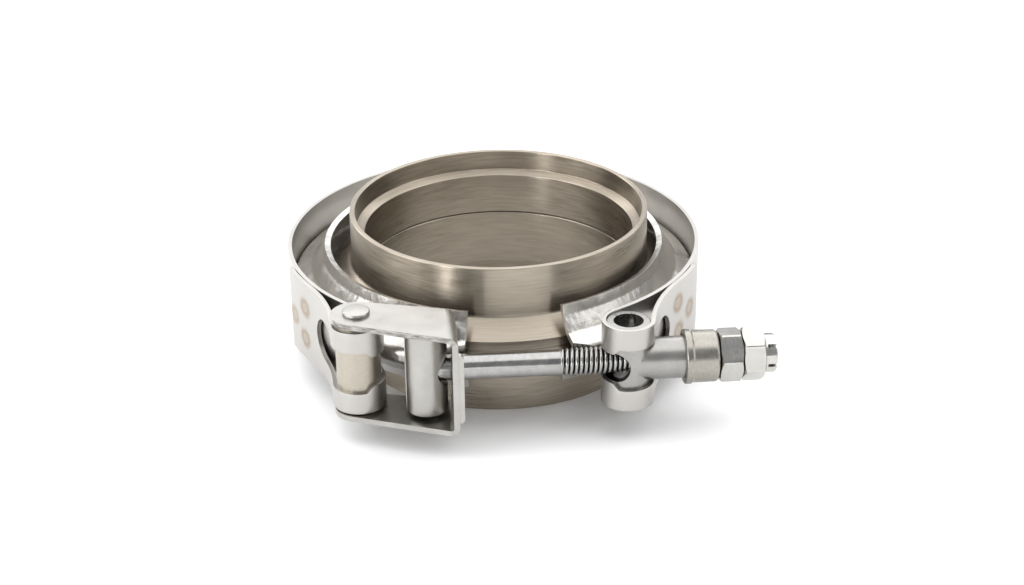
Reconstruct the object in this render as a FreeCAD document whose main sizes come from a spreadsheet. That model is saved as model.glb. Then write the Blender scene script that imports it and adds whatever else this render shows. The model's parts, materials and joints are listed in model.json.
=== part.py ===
"""V band clamp with its two pipe flanges, quick-release latch and T bolt.

Millimetres. The flanges' axis is Z, the lower flange stands on z = 0, and the
latch and the bolt lie on the front, towards -Y.
"""
import FreeCAD, Part
import math
import os
import re
import Sketcher
from FreeCAD import Placement, Rotation, Vector

doc = FreeCAD.newDocument("v_band_clamp")
sheet = doc.addObject("Spreadsheet::Sheet", "Sizes")

# Driving dimensions: name, value, what it measures. A value in quotes follows those above it.
SIZES = [
    ("lower_height", 17.0, "lower flange, floor to joint face"),
    ("upper_height", 16.45, "upper flange, joint face to top rim"),
    ("socket_radius", 31.85, "socket that the pipe end fits into"),
    ("socket_depth", 4.5, "depth of the pipe socket"),
    ("neck_wall", 1.25, "wall of both necks round the socket"),
    ("neck_radius", "socket_radius + neck_wall", "outside of both necks"),
    ("bore_ledge", 1.95, "step in from the socket to the gas bore"),
    ("bore_radius", "socket_radius - bore_ledge", "gas bore"),
    ("shoulder_rise", 0.9, "height of the cone from socket to bore"),
    ("rim_reach", 5.15, "rims beyond the necks"),
    ("rim_radius", "neck_radius + rim_reach", "outside of the rims"),
    ("rim_edge", 2.1, "upright edge of each rim"),
    ("rim_slope", 45.0, "slope of the rim's back, from level"),
    ("neck_fillet", 3.8, "root between neck and rim"),
    ("spigot_wall", 2.1, "wall of the locating spigot on the lower flange"),
    ("spigot_radius", "bore_radius + spigot_wall", "outside of the spigot"),
    ("spigot_height", 1.4, "height of the spigot"),
    ("spigot_fit", 0.1, "play round and above the spigot"),
    ("edge_break", 0.25, "broken edges of the flanges"),
    ("clamp_shift", -1.2, "the loose clamp hangs this far off the axis"),
    ("retainer_thickness", 1.3, "retainer sheet"),
    ("lip_bite", 1.2, "how far the lip's foot, less its sheet, stands inside the rim's edge"),
    ("lip_radius", "rim_radius + retainer_thickness - lip_bite", "foot of the retainer's lip"),
    ("lip_lean", 0.65, "top of the lip inside its foot"),
    ("lip_top_radius", "lip_radius - lip_lean", "top of the lip"),
    ("knee_reach", 2.5, "retainer's knee beyond the lip's foot"),
    ("knee_radius", "lip_radius + knee_reach", "retainer's knee"),
    ("wall_reach", 4.15, "strap's inside beyond the knee"),
    ("band_inner_radius", "knee_radius + wall_reach", "inside of the strap"),
    ("wall_half", 1.65, "half the height of the retainer's wall"),
    ("knee_rise", 1.55, "knee above the rim's edge"),
    ("knee_height", "rim_edge + knee_rise", "knee above the joint face"),
    ("flank_rise", 3.25, "lip's foot above the knee"),
    ("lip_height", "knee_height + flank_rise", "foot of the lip above the joint face"),
    ("lip_rise", 2.05, "height of the lip itself"),
    ("lip_top_height", "lip_height + lip_rise", "top of the lip above the joint face"),
    ("bend_radius", 1.8, "outside bends of the retainer"),
    ("left_retainer_end", 8.0, "left retainer's front end, from the front"),
    ("right_retainer_end", 22.0, "right retainer's front end, from the front"),
    ("rear_gap_half", 10.0, "retainers' rear ends, from the back"),
    ("band_thickness", 0.9, "strap sheet"),
    ("band_width", 18.6, "strap width"),
    ("tail_gap", 0.1, "play between the strap's two layers"),
    ("tail_angle", 34.5, "tail end, past its loop"),
    ("leg_radius", 39.0, "hollow bend of the strap's outer leg"),
    ("loop_angle", 33.35, "loop axes, each side of the front"),
    ("slot_reach", 7.9, "slot end, past the loop"),
    ("bolt_travel", 3.0, "how far the nuts can back the bolt off"),
    ("weld_gap", 0.03, "play between strap and retainers beside the spot welds"),
    ("tube_radius", 4.55, "bushing and trunnion, outside"),
    ("running_fit", 0.05, "play of every turning fit, on the radius"),
    ("trunnion_height", 17.9, "trunnion tube"),
    ("trunnion_bore", 3.1, "radius of the trunnion's upright bore"),
    ("tube_chamfer", 0.3, "chamfer on the trunnion tube's ends"),
    ("sleeve_radius", 4.3, "bolt sleeve of the trunnion"),
    ("slot_play", 0.35, "play of the sleeve in the loop's slot"),
    ("slot_height", "2 * ( sleeve_radius + slot_play )", "slot through each loop"),
    ("sleeve_end", 17.6, "sleeve end, from the trunnion's axis"),
    ("bolt_angle", 4.1, "bolt's turn from the X axis"),
    ("barrel_distance", 13.882, "bolt head's axis from the pivot, along the bolt"),
    ("shank_radius", 2.67, "plain shank"),
    ("thread_radius", 2.95, "crests of the thread"),
    ("bolt_play", 0.3, "play of the bolt in the trunnion and beside the retainers"),
    ("bolt_hole", "thread_radius + bolt_play", "radius of the bolt's hole through the trunnion"),
    ("thread_start", 14.1, "first thread, inboard of the trunnion's axis"),
    ("bolt_end", 30.7, "bolt's free end, from the trunnion's axis"),
    ("bolt_chamfer", 0.7, "chamfer on the bolt's free end"),
    ("barrel_radius", 4.3, "rolled sleeve on the bolt's T head"),
    ("barrel_thickness", 1.2, "sheet of the rolled sleeve"),
    ("barrel_relief", 0.4, "play of the rolled sleeve in the retainer's notch"),
    ("barrel_hole", 3.3, "radius of the sleeve's hole for the shank"),
    ("barrel_seam", 20.0, "open angle at the sleeve's seam"),
    ("barrel_lead", 1.0, "straight lead of the rolled sheet at its seam"),
    ("barrel_play", 0.75, "play between the rolled sleeve and the web"),
    ("head_height", 14.1, "T head"),
    ("head_fit", 0.1, "play of the T head in its sleeve"),
    ("cup_lip_radius", 5.5, "flared lip of the cup"),
    ("cup_radius", 5.25, "cup, outside"),
    ("cup_start", 11.5, "cup's lip, from the trunnion's axis"),
    ("cup_lip_length", 1.3, "length of the lip"),
    ("cup_wall", 1.25, "cup's end wall"),
    ("cup_fit", 0.1, "play of the cup on the sleeve"),
    ("cup_bolt_play", 0.3, "play of the cup round the bolt"),
    ("cup_taper", 0.75, "taper at the cup's end"),
    ("nut_play", 0.12, "gap between cup and nut"),
    ("nut_flats", 10.0, "across flats of both nuts"),
    ("nut_height", 4.8, "plain nut"),
    ("lock_hex_height", 4.55, "hexagon of the lock nut"),
    ("nut_chamfer", 0.6, "chamfer on the nuts' corners"),
    ("nut_turn", 14.0, "how far the nuts' corners are turned"),
    ("lock_nut_lag", 9.0, "lock nut's turn behind the plain nut"),
    ("collar_radius", 4.1, "collar of the lock nut"),
    ("collar_height", 2.3, "collar beyond the hexagon"),
    ("collar_slot", 0.75, "slots across the collar"),
    ("pin_radius", 2.15, "pivot pin"),
    ("pin_head_radius", 2.85, "riveted heads"),
    ("pin_head_height", 0.85, "riveted heads"),
    ("bracket_thickness", 1.2, "latch sheet"),
    ("plate_play", 0.75, "play between the strap's edge and each plate"),
    ("bracket_gap", "band_width + 2 * plate_play", "height between the latch's plates"),
    ("barrel_end_play", 1.0, "play between the rolled sleeve's end and each plate"),
    ("barrel_height", "bracket_gap - 2 * barrel_end_play", "rolled sleeve"),
    ("bushing_play", 0.25, "play between the bushing and each plate"),
    ("bracket_bend", 0.85, "inside bends of the latch"),
    ("plate_radius", 5.3, "rounded end of the plates"),
    ("front_taper", 21.2, "plates' front edge, from the bolt's line"),
    ("rear_taper", 16.0, "plates' rear edge, from the bolt's line"),
    ("web_slot_half", 3.5, "half the height of the web's bolt slot"),
    ("web_slot_play", 0.7, "slot's end, in front of the bolt"),
    ("web_arm_reach", 0.65, "web's arms, behind the bolt's line"),
    ("web_arm_top", 8.65, "web's arms end this far from the middle"),
    ("grip_top", 4.9, "top of the curled grip, above the middle"),
    ("grip_bottom", 8.9, "foot of the curled grip, below the middle"),
    ("grip_reach", 1.9, "grip beyond the web's outer face"),
]
for row, (alias, size, note) in enumerate(SIZES, start=1):
    sheet.set(f"A{row}", note)
    sheet.set(f"B{row}", f"={size}")
    sheet.setAlias(f"B{row}", alias)
doc.recompute()


NAMES = [alias for alias, size, note in SIZES]


def expression(text):
    """The same expression with each alias read from the sheet."""
    return re.sub("[a-z_]+", lambda word: "Sizes." * (word[0] in NAMES) + word[0], text)


def value(text):
    """The number that an expression over the sheet gives."""
    result = sheet.evalExpression(expression(text))
    return float(getattr(result, "Value", result))


# Places that several pieces share
LOOP_RADIUS = "( band_inner_radius + band_thickness + running_fit + tube_radius )"
PIVOT_X = f"clamp_shift - {LOOP_RADIUS} * sin( loop_angle * 1deg )"
TRUNNION_X = f"clamp_shift + {LOOP_RADIUS} * sin( loop_angle * 1deg )"
LOOP_Y = f"- {LOOP_RADIUS} * cos( loop_angle * 1deg )"
LOOP_SPACING = f"2 * {LOOP_RADIUS} * sin( loop_angle * 1deg ) * cos( bolt_angle * 1deg )"
BOLT_REACH = f"( {LOOP_SPACING} - barrel_distance )"


def bind(piece, path, text):
    piece.setExpression(path, expression(text))


def place(piece, x, y, turn):
    """Put a piece at the joint face's height, turned about Z."""
    piece.Placement = Placement(Vector(), Rotation(Vector(0, 0, 1), 1))
    bind(piece, "Placement.Base.x", x)
    bind(piece, "Placement.Base.y", y)
    bind(piece, "Placement.Base.z", "lower_height")
    bind(piece, "Placement.Rotation.Angle", turn)


def at_trunnion(piece):
    place(piece, TRUNNION_X, LOOP_Y, "bolt_angle * 1deg")


def at_pivot(piece):
    place(piece, PIVOT_X, LOOP_Y, "bolt_angle * 1deg")


def turned(label, corners, axis="V_Axis"):
    """A body turned about Z or X from an outline whose corners are expressions."""
    body = doc.addObject("PartDesign::Body", label)
    body.Label = label
    sketch = body.newObject("Sketcher::SketchObject", label + "_outline")
    upright = [p for p in body.Origin.OriginFeatures if p.Role == "XZ_Plane"][0]
    sketch.AttachmentSupport = [(upright, "")]
    sketch.MapMode = "FlatFace"
    points = [Vector(value(x), value(y), 0) for x, y in corners]
    count = len(points)
    for index in range(count):
        sketch.addGeometry(Part.LineSegment(points[index], points[(index + 1) % count]))
    for index in range(count):
        following = (index + 1) % count
        sketch.addConstraint(Sketcher.Constraint("Coincident", index, 2, following, 1))
    for index, (x, y) in enumerate(corners):
        for kind, text in (("DistanceX", x), ("DistanceY", y)):
            size = Sketcher.Constraint(kind, -1, 1, index, 1, value(text))
            number = sketch.addConstraint(size)
            bind(sketch, f"Constraints[{number}]", text)
    revolve = body.newObject("PartDesign::Revolution", label + "_turning")
    revolve.Profile = sketch
    revolve.ReferenceAxis = (sketch, [axis])
    revolve.Angle = 360
    sketch.Visibility = False
    doc.recompute()
    return body


def ring_edges(shape, rings):
    """Names of the circular edges with the given radii and heights."""
    names = []
    for number, edge in enumerate(shape.Edges, start=1):
        curve = edge.Curve
        if isinstance(curve, Part.Circle):
            for radius, height in rings:
                if abs(curve.Radius - radius) < 0.01 and abs(curve.Center.z - height) < 0.01:
                    names.append(f"Edge{number}")
    return names


def dress(body, kind, name, rings, size_path, text):
    """Add a fillet or a chamfer to a body's circular edges."""
    blank = body.Tip
    feature = body.newObject(f"PartDesign::{kind}", name)
    feature.Base = (blank, ring_edges(blank.Shape, rings))
    bind(feature, size_path, text)
    body.Tip = feature
    doc.recompute()


# Lower flange: turned, with a pipe socket below and a locating spigot on its joint face
SLOPE_RUN = "( rim_radius - neck_radius ) * tan( rim_slope * 1deg )"
LOWER_ROOT = f"lower_height - rim_edge - {SLOPE_RUN}"
lower_flange = turned("lower_flange", [
    ("socket_radius", "0"),
    ("neck_radius", "0"),
    ("neck_radius", LOWER_ROOT),
    ("rim_radius", "lower_height - rim_edge"),
    ("rim_radius", "lower_height"),
    ("spigot_radius", "lower_height"),
    ("spigot_radius", "lower_height + spigot_height"),
    ("bore_radius", "lower_height + spigot_height"),
    ("bore_radius", "socket_depth + shoulder_rise"),
    ("socket_radius", "socket_depth"),
])
lower_root_ring = (value("neck_radius"), value(LOWER_ROOT))
lower_edge_rings = [
    (value("neck_radius"), 0),
    (value("rim_radius"), value("lower_height - rim_edge")),
    (value("rim_radius"), value("lower_height")),
    (value("bore_radius"), value("lower_height + spigot_height")),
]
dress(lower_flange, "Fillet", "lower_neck_root", [lower_root_ring], "Radius", "neck_fillet")
dress(lower_flange, "Chamfer", "lower_edges", lower_edge_rings, "Size", "edge_break")

# Upper flange: the same neck turned over, with a recess for the spigot
UPPER_TOP = "( lower_height + upper_height )"
UPPER_ROOT = f"lower_height + rim_edge + {SLOPE_RUN}"
upper_flange = turned("upper_flange", [
    ("spigot_radius + spigot_fit", "lower_height"),
    ("rim_radius", "lower_height"),
    ("rim_radius", "lower_height + rim_edge"),
    ("neck_radius", UPPER_ROOT),
    ("neck_radius", UPPER_TOP),
    ("socket_radius", UPPER_TOP),
    ("socket_radius", f"{UPPER_TOP} - socket_depth"),
    ("bore_radius", f"{UPPER_TOP} - socket_depth - shoulder_rise"),
    ("bore_radius", "lower_height + spigot_height + spigot_fit"),
    ("spigot_radius + spigot_fit", "lower_height + spigot_height + spigot_fit"),
])
upper_root_ring = (value("neck_radius"), value(UPPER_ROOT))
upper_edge_rings = [
    (value("neck_radius"), value(UPPER_TOP)),
    (value("rim_radius"), value("lower_height + rim_edge")),
    (value("rim_radius"), value("lower_height")),
    (value("bore_radius"), value("lower_height + spigot_height + spigot_fit")),
]
dress(upper_flange, "Fillet", "upper_neck_root", [upper_root_ring], "Radius", "neck_fillet")
dress(upper_flange, "Chamfer", "upper_edges", upper_edge_rings, "Size", "edge_break")


# Sheet-metal pieces follow a path of straight runs and arcs in one plane
class Run:
    """A straight stretch of a sheet's path."""

    def __init__(self, start, end):
        self.start = start
        self.end = end
        self.length = (end - start).Length

    def point(self, distance, side):
        along = (self.end - self.start).normalize()
        return self.start + along * distance + Vector(-along.y, along.x, 0) * side

    def trimmed(self, first, last):
        return Run(self.point(first, 0), self.point(last, 0))

    def edge(self, side):
        return Part.LineSegment(self.point(0, side), self.point(self.length, side)).toShape()


class Bend:
    """An arc of a sheet's path, from one angle to another, in degrees."""

    def __init__(self, centre, radius, first, last):
        self.centre = centre
        self.radius = radius
        self.first = first
        self.last = last
        self.left = 1 if last > first else -1
        self.length = radius * math.radians(abs(last - first))

    def point(self, distance, side):
        angle = math.radians(self.first) + self.left * distance / self.radius
        reach = self.radius - self.left * side
        return self.centre + Vector(math.cos(angle), math.sin(angle), 0) * reach

    def trimmed(self, first, last):
        per_length = math.degrees(self.left / self.radius)
        start = self.first + first * per_length
        return Bend(self.centre, self.radius, start, self.first + last * per_length)

    def edge(self, side):
        middle = self.point(self.length / 2, side)
        return Part.Arc(self.point(0, side), middle, self.point(self.length, side)).toShape()


def trim(path, first, last):
    """The stretch of a path between two distances from its start."""
    pieces = []
    travelled = 0
    for part in path:
        start = max(first - travelled, 0)
        end = min(last - travelled, part.length)
        if end - start > 1e-6:
            pieces.append(part.trimmed(start, end))
        travelled += part.length
    return pieces


def rounded(corners, radii):
    """A path through corners, each inner one rounded by its radius."""
    path = []
    start = corners[0]
    for before, corner, after, radius in zip(corners, corners[1:], corners[2:], radii):
        to_corner = (corner - before).normalize()
        from_corner = (after - corner).normalize()
        turn = math.atan2(to_corner.cross(from_corner).z, to_corner.dot(from_corner))
        tangent = radius * math.tan(abs(turn) / 2)
        path.append(Run(start, corner - to_corner * tangent))
        side = 1 if turn > 0 else -1
        inward = Vector(-to_corner.y, to_corner.x, 0) * side
        centre = corner - to_corner * tangent + inward * radius
        first = math.degrees(math.atan2(-inward.y, -inward.x))
        path.append(Bend(centre, radius, first, first + math.degrees(turn)))
        start = corner + from_corner * tangent
    path.append(Run(start, corners[-1]))
    return path


def sheet_face(path, left, right):
    """The sheet's section: its path thickened to the left and to the right."""
    there = [part.edge(left) for part in path]
    back = [part.edge(-right) for part in path]
    start, end = path[0], path[-1]
    first_cap = Part.LineSegment(start.point(0, -right), start.point(0, left)).toShape()
    last_cap = Part.LineSegment(end.point(end.length, left), end.point(end.length, -right))
    return Part.Face(Part.Wire(Part.__sortEdges__(there + [last_cap.toShape()] + back + [first_cap])))


def stand_up(shape):
    """Turn a section drawn in X and Y so that its Y points up."""
    shape.rotate(Vector(), Vector(1, 0, 0), 90)
    return shape


def slab(face, bottom, top):
    """A flat face drawn on z = 0, thickened between two heights."""
    face.translate(Vector(0, 0, bottom))
    return face.extrude(Vector(0, 0, top - bottom))


def add_shape(label, shape, spot, turn=0):
    piece = doc.addObject("Part::Feature", label)
    piece.Label = label
    piece.Shape = shape.removeSplitter()
    piece.Placement = Placement(spot, Rotation(Vector(0, 0, 1), turn))
    return piece


clamp_centre = Vector(value("clamp_shift"), 0, value("lower_height"))


def on_circle(angle, radius):
    return Vector(math.cos(math.radians(angle)), math.sin(math.radians(angle)), 0) * radius


def mirrored(path):
    """A path reflected across the clamp's middle plane and run backwards."""
    result = []
    for bend in reversed(path):
        centre = Vector(-bend.centre.x, bend.centre.y, 0)
        result.append(Bend(centre, bend.radius, 180 - bend.last, 180 - bend.first))
    return result


# Where the bolt's head and line lie, seen from the pivot and along the bolt
trunnion_spot = Vector(value(TRUNNION_X), value(LOOP_Y), value("lower_height"))
pivot_spot = Vector(value(PIVOT_X), value(LOOP_Y), value("lower_height"))
bolt_turn = value("bolt_angle")
along_bolt = on_circle(bolt_turn, 1)
barrel_spot = trunnion_spot - along_bolt * value(BOLT_REACH)
barrel_in_latch = Rotation(Vector(0, 0, 1), -bolt_turn).multVec(barrel_spot - pivot_spot)


def box_between(low, high):
    return Part.makeBox(high.x - low.x, high.y - low.y, high.z - low.z, low)


def make_strap():
    """One strip: tail, outer leg and loop, round the back, and the same again."""
    thickness = value("band_thickness")
    inner_layer = value("band_inner_radius") + thickness / 2
    outer_layer = inner_layer + thickness + value("tail_gap")
    hollow = value("leg_radius")
    wrap = value("tube_radius + running_fit") + thickness / 2
    loop_way = value("loop_angle") - 90
    loop = on_circle(loop_way, value(LOOP_RADIUS))
    reach = outer_layer + hollow
    cosine = (reach ** 2 + loop.Length ** 2 - (wrap + hollow) ** 2) / (2 * reach * loop.Length)
    leave_way = loop_way + math.degrees(math.acos(cosine))
    hollow_centre = on_circle(leave_way, reach)
    to_loop = loop - hollow_centre
    loop_side = math.degrees(math.atan2(to_loop.y, to_loop.x))
    tail = Bend(Vector(), outer_layer, loop_way + value("tail_angle"), leave_way)
    leg = Bend(hollow_centre, hollow, leave_way + 180, loop_side)
    round_loop = Bend(loop, wrap, loop_side + 180, loop_way + 180)
    round_back = Bend(Vector(), inner_layer, loop_way, 180 - loop_way)
    right_end = [tail, leg, round_loop]
    path = right_end + [round_back] + mirrored(right_end)
    half = value("band_width") / 2
    strap = slab(sheet_face(path, thickness / 2, thickness / 2), -half, half)
    slot_half = value("slot_height") / 2
    slot_reach = value("slot_reach")
    before_loop = tail.length + leg.length
    total = sum(part.length for part in path)
    right_slot = before_loop - slot_reach
    left_slot = total - before_loop - round_loop.length - slot_reach
    for first in (right_slot, left_slot):
        last = first + round_loop.length + 2 * slot_reach
        run = trim(path, first + slot_half, last - slot_half)
        slot = slab(sheet_face(run, thickness, thickness), -slot_half, slot_half)
        for part, distance in ((run[0], 0), (run[-1], run[-1].length)):
            inside = part.point(distance, -thickness)
            outward = part.point(distance, thickness) - inside
            slot = slot.fuse(Part.makeCylinder(slot_half, outward.Length, inside, outward))
        strap = strap.cut(slot)
    return strap


def make_retainer(first, last):
    """Pressed V section that hooks over both rims, over a stretch of the circle."""
    half = [
        Vector(value("band_inner_radius - weld_gap"), value("wall_half"), 0),
        Vector(value("knee_radius"), value("knee_height"), 0),
        Vector(value("lip_radius"), value("lip_height"), 0),
        Vector(value("lip_top_radius"), value("lip_top_height"), 0),
    ]
    other_half = [Vector(corner.x, -corner.y, 0) for corner in reversed(half)]
    outside = value("bend_radius")
    hollow = outside + value("retainer_thickness")
    path = rounded(other_half + half, [outside, hollow, outside, outside, hollow, outside])
    section = stand_up(sheet_face(path, value("retainer_thickness"), 0))
    section.rotate(Vector(), Vector(0, 0, 1), first)
    retainer = section.revolve(Vector(), Vector(0, 0, 1), last - first)
    relief = value("bolt_hole")
    reach = value(BOLT_REACH)
    notch = box_between(Vector(-reach, -reach, -relief), Vector(reach, relief, relief))
    round_relief = value("barrel_radius + barrel_relief")
    back = -reach - value("bolt_travel")
    tall = value("band_width")
    pocket = box_between(Vector(back, -round_relief, -tall), Vector(-reach, round_relief, tall))
    for along in (back, -reach):
        pocket = pocket.fuse(Part.makeCylinder(round_relief, 2 * tall, Vector(along, 0, -tall)))
    clearance = notch.fuse(pocket)
    clearance.Placement = Placement(trunnion_spot - clamp_centre, Rotation(Vector(0, 0, 1), bolt_turn))
    return retainer.cut(clearance)


add_shape("band_strap", make_strap(), clamp_centre)
right_end = value("right_retainer_end") - 90
left_end = 270 - value("left_retainer_end")
rear_half = value("rear_gap_half")
add_shape("right_retainer", make_retainer(right_end, 90 - rear_half), clamp_centre)
add_shape("left_retainer", make_retainer(90 + rear_half, left_end), clamp_centre)

# Bushing in the left loop: a plain tube that the pivot pin turns in
BUSHING_HALF = "( bracket_gap / 2 - bushing_play )"
pivot_bushing = turned("pivot_bushing", [
    ("pin_radius + running_fit", f"- {BUSHING_HALF}"),
    ("tube_radius + running_fit", f"- {BUSHING_HALF}"),
    ("tube_radius + running_fit", BUSHING_HALF),
    ("pin_radius + running_fit", BUSHING_HALF),
])
at_pivot(pivot_bushing)

# Pivot pin: a rivet through both plates of the latch, with a head on each end
SHANK_HALF = "( bracket_gap / 2 + bracket_thickness )"
pivot_pin = turned("pivot_pin", [
    ("0", f"- {SHANK_HALF} - pin_head_height"),
    ("pin_head_radius - pin_head_height / 2", f"- {SHANK_HALF} - pin_head_height"),
    ("pin_head_radius", f"- {SHANK_HALF} - pin_head_height / 2"),
    ("pin_head_radius", f"- {SHANK_HALF}"),
    ("pin_radius", f"- {SHANK_HALF}"),
    ("pin_radius", SHANK_HALF),
    ("pin_head_radius", SHANK_HALF),
    ("pin_head_radius", f"{SHANK_HALF} + pin_head_height / 2"),
    ("pin_head_radius - pin_head_height / 2", f"{SHANK_HALF} + pin_head_height"),
    ("0", f"{SHANK_HALF} + pin_head_height"),
])
at_pivot(pivot_pin)

def make_bracket():
    """One blank folded to a U: two plates and a web with an open slot and a curled grip."""
    thickness = value("bracket_thickness")
    gap_half = value("bracket_gap / 2")
    bend = value("bracket_bend")
    web = barrel_in_latch.x + value("barrel_radius + barrel_play")
    outer_face = web + thickness
    end_radius = value("plate_radius")
    far = outer_face + value("grip_reach") + end_radius
    corners = [
        Vector(-2 * end_radius, gap_half, 0),
        Vector(web, gap_half, 0),
        Vector(web, -gap_half, 0),
        Vector(-2 * end_radius, -gap_half, 0),
    ]
    fold = stand_up(sheet_face(rounded(corners, [bend, bend]), thickness, 0))
    fold.translate(Vector(0, far, 0))
    folded = fold.extrude(Vector(0, -2 * far, 0))
    rear_way = 90 - value("rear_taper")
    front_way = 270 - value("front_taper")
    rear_start = on_circle(rear_way, end_radius)
    front_start = on_circle(front_way, end_radius)
    rear_far = rear_start + on_circle(rear_way - 90, 1) * (far / math.cos(math.radians(rear_way - 90)))
    front_far = front_start + on_circle(front_way + 90, 1) * (far / math.cos(math.radians(front_way + 90)))
    outline = Part.Face(Part.Wire([
        Part.Arc(rear_start, Vector(-end_radius, 0, 0), front_start).toShape(),
        Part.LineSegment(front_start, front_far).toShape(),
        Part.LineSegment(front_far, rear_far).toShape(),
        Part.LineSegment(rear_far, rear_start).toShape(),
    ]))
    reach = gap_half + 2 * thickness
    bracket = folded.common(slab(outline, -reach, reach))
    bolt_line = barrel_in_latch.y
    slot_half = value("web_slot_half")
    slot_end = bolt_line - value("thread_radius + web_slot_play")
    arm_top = value("web_arm_top")
    slot = box_between(Vector(web - bend, slot_end + slot_half, -slot_half), Vector(far, far, slot_half))
    round_spot = Vector(web - bend, slot_end + slot_half, 0)
    slot_round = Part.makeCylinder(slot_half, far, round_spot, Vector(1, 0, 0))
    arm_end = bolt_line + value("web_arm_reach")
    behind_arms = box_between(Vector(web - bend, arm_end, -arm_top), Vector(far, far, arm_top))
    bracket = bracket.cut(slot).cut(slot_round).cut(behind_arms)
    front_drop = (end_radius + outer_face * math.sin(math.radians(value("front_taper"))))
    front_edge = -front_drop / math.cos(math.radians(value("front_taper")))
    grip_path = rounded([
        Vector(outer_face, slot_end, 0),
        Vector(outer_face, front_edge + thickness, 0),
        Vector(outer_face + value("grip_reach"), front_edge + thickness, 0),
    ], [bend])
    grip = slab(sheet_face(grip_path, 0, thickness), -value("grip_bottom"), value("grip_top"))
    bracket = bracket.fuse(grip)
    hole = Part.makeCylinder(value("pin_radius"), 2 * reach, Vector(0, 0, -reach))
    return bracket.cut(hole)


add_shape("latch_bracket", make_bracket(), pivot_spot, bolt_turn)


def make_barrel():
    """Sleeve rolled from sheet round the bolt's T head, open at its seam."""
    thickness = value("barrel_thickness")
    radius = value("barrel_radius") - thickness / 2
    seam = value("barrel_seam")
    roll = Bend(Vector(), radius, 180 + seam / 2, 540 - seam / 2)
    roll_end = roll.point(roll.length, 0)
    lead_way = Vector(-roll_end.y, roll_end.x, 0).normalize()
    lead = Run(roll_end, roll_end + lead_way * value("barrel_lead"))
    half = value("barrel_height / 2")
    barrel = slab(sheet_face([roll, lead], thickness / 2, thickness / 2), -half, half)
    return barrel.cut(Part.makeCylinder(value("barrel_hole"), 2 * radius, Vector(), Vector(1, 0, 0)))


add_shape("bolt_barrel", make_barrel(), barrel_spot, bolt_turn)


def cylinder(name, radius, height, centre_x="0", base_z=None, lying=False):
    """A bound cylinder: upright and centred on z = 0, or lying along X."""
    piece = doc.addObject("Part::Cylinder", name)
    bind(piece, "Radius", radius)
    bind(piece, "Height", height)
    bind(piece, "Placement.Base.x", centre_x)
    if lying:
        piece.Placement = Placement(Vector(), Rotation(Vector(0, 1, 0), 90))
        bind(piece, "Placement.Base.x", centre_x)
    else:
        bind(piece, "Placement.Base.z", base_z or f"- ( {height} ) / 2")
    return piece


def fuse(name, pieces):
    joined = doc.addObject("Part::MultiFuse", name)
    joined.Shapes = pieces
    joined.Refine = True
    return joined


def cut(name, base, tool):
    result = doc.addObject("Part::Cut", name)
    result.Base = base
    result.Tool = tool
    result.Refine = True
    return result


# Trunnion: an upright tube with a bolt sleeve on its outer side, slotted towards the latch
trunnion_tube = turned("trunnion_tube", [
    ("0", "- trunnion_height / 2"),
    ("tube_radius - tube_chamfer", "- trunnion_height / 2"),
    ("tube_radius", "tube_chamfer - trunnion_height / 2"),
    ("tube_radius", "trunnion_height / 2 - tube_chamfer"),
    ("tube_radius - tube_chamfer", "trunnion_height / 2"),
    ("0", "trunnion_height / 2"),
])
sleeve = cylinder("sleeve", "sleeve_radius", "sleeve_end", lying=True)
trunnion_blank = fuse("trunnion_blank", [trunnion_tube, sleeve])
upright_bore = cylinder("upright_bore", "trunnion_bore", "2 * trunnion_height")
bolt_bore = cylinder("bolt_bore", "bolt_hole", "sleeve_end + tube_radius", lying=True)
slot_end = cylinder("slot_end", "bolt_hole", "4 * tube_radius")
slot_end.Placement = Placement(Vector(), Rotation(Vector(1, 0, 0), 90))
bind(slot_end, "Placement.Base.x", "- bolt_hole")
bind(slot_end, "Placement.Base.y", "2 * tube_radius")
bind(slot_end, "Placement.Base.z", "0")
slot_run = doc.addObject("Part::Box", "slot_run")
bind(slot_run, "Length", "2 * tube_radius - bolt_hole")
bind(slot_run, "Width", "4 * tube_radius")
bind(slot_run, "Height", "2 * bolt_hole")
bind(slot_run, "Placement.Base.x", "- 2 * tube_radius")
bind(slot_run, "Placement.Base.y", "- 2 * tube_radius")
bind(slot_run, "Placement.Base.z", "- bolt_hole")
trunnion_holes = fuse("trunnion_holes", [upright_bore, bolt_bore, slot_end, slot_run])
trunnion = cut("trunnion", trunnion_blank, trunnion_holes)
at_trunnion(trunnion)

# Bolt: a plain shank with a T head at the latch and a rolled thread through the trunnion
bolt_bar = turned("bolt_bar", [
    (f"- {BOLT_REACH}", "0"),
    (f"- {BOLT_REACH}", "shank_radius"),
    ("- thread_start", "shank_radius"),
    ("- thread_start", "thread_radius"),
    ("bolt_end - bolt_chamfer", "thread_radius"),
    ("bolt_end", "thread_radius - bolt_chamfer"),
    ("bolt_end", "0"),
], axis="H_Axis")
HEAD_RADIUS = "barrel_radius - barrel_thickness - head_fit"
bolt_head = cylinder("bolt_head", HEAD_RADIUS, "head_height", centre_x=f"- {BOLT_REACH}")
t_bolt = fuse("t_bolt", [bolt_bar, bolt_head])
at_trunnion(t_bolt)

# Cup over the sleeve's end, which takes the nut's thrust
CUP_END = "( sleeve_end + cup_wall )"
ferrule_cup = turned("ferrule_cup", [
    ("cup_start", "sleeve_radius + cup_fit"),
    ("cup_start", "cup_lip_radius"),
    ("cup_start + cup_lip_length", "cup_lip_radius"),
    ("cup_start + cup_lip_length + cup_lip_radius - cup_radius", "cup_radius"),
    (f"{CUP_END} - cup_taper", "cup_radius"),
    (CUP_END, "cup_radius - cup_taper"),
    (CUP_END, "thread_radius + cup_bolt_play"),
    ("sleeve_end", "thread_radius + cup_bolt_play"),
    ("sleeve_end", "sleeve_radius + cup_fit"),
], axis="H_Axis")
at_trunnion(ferrule_cup)

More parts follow.
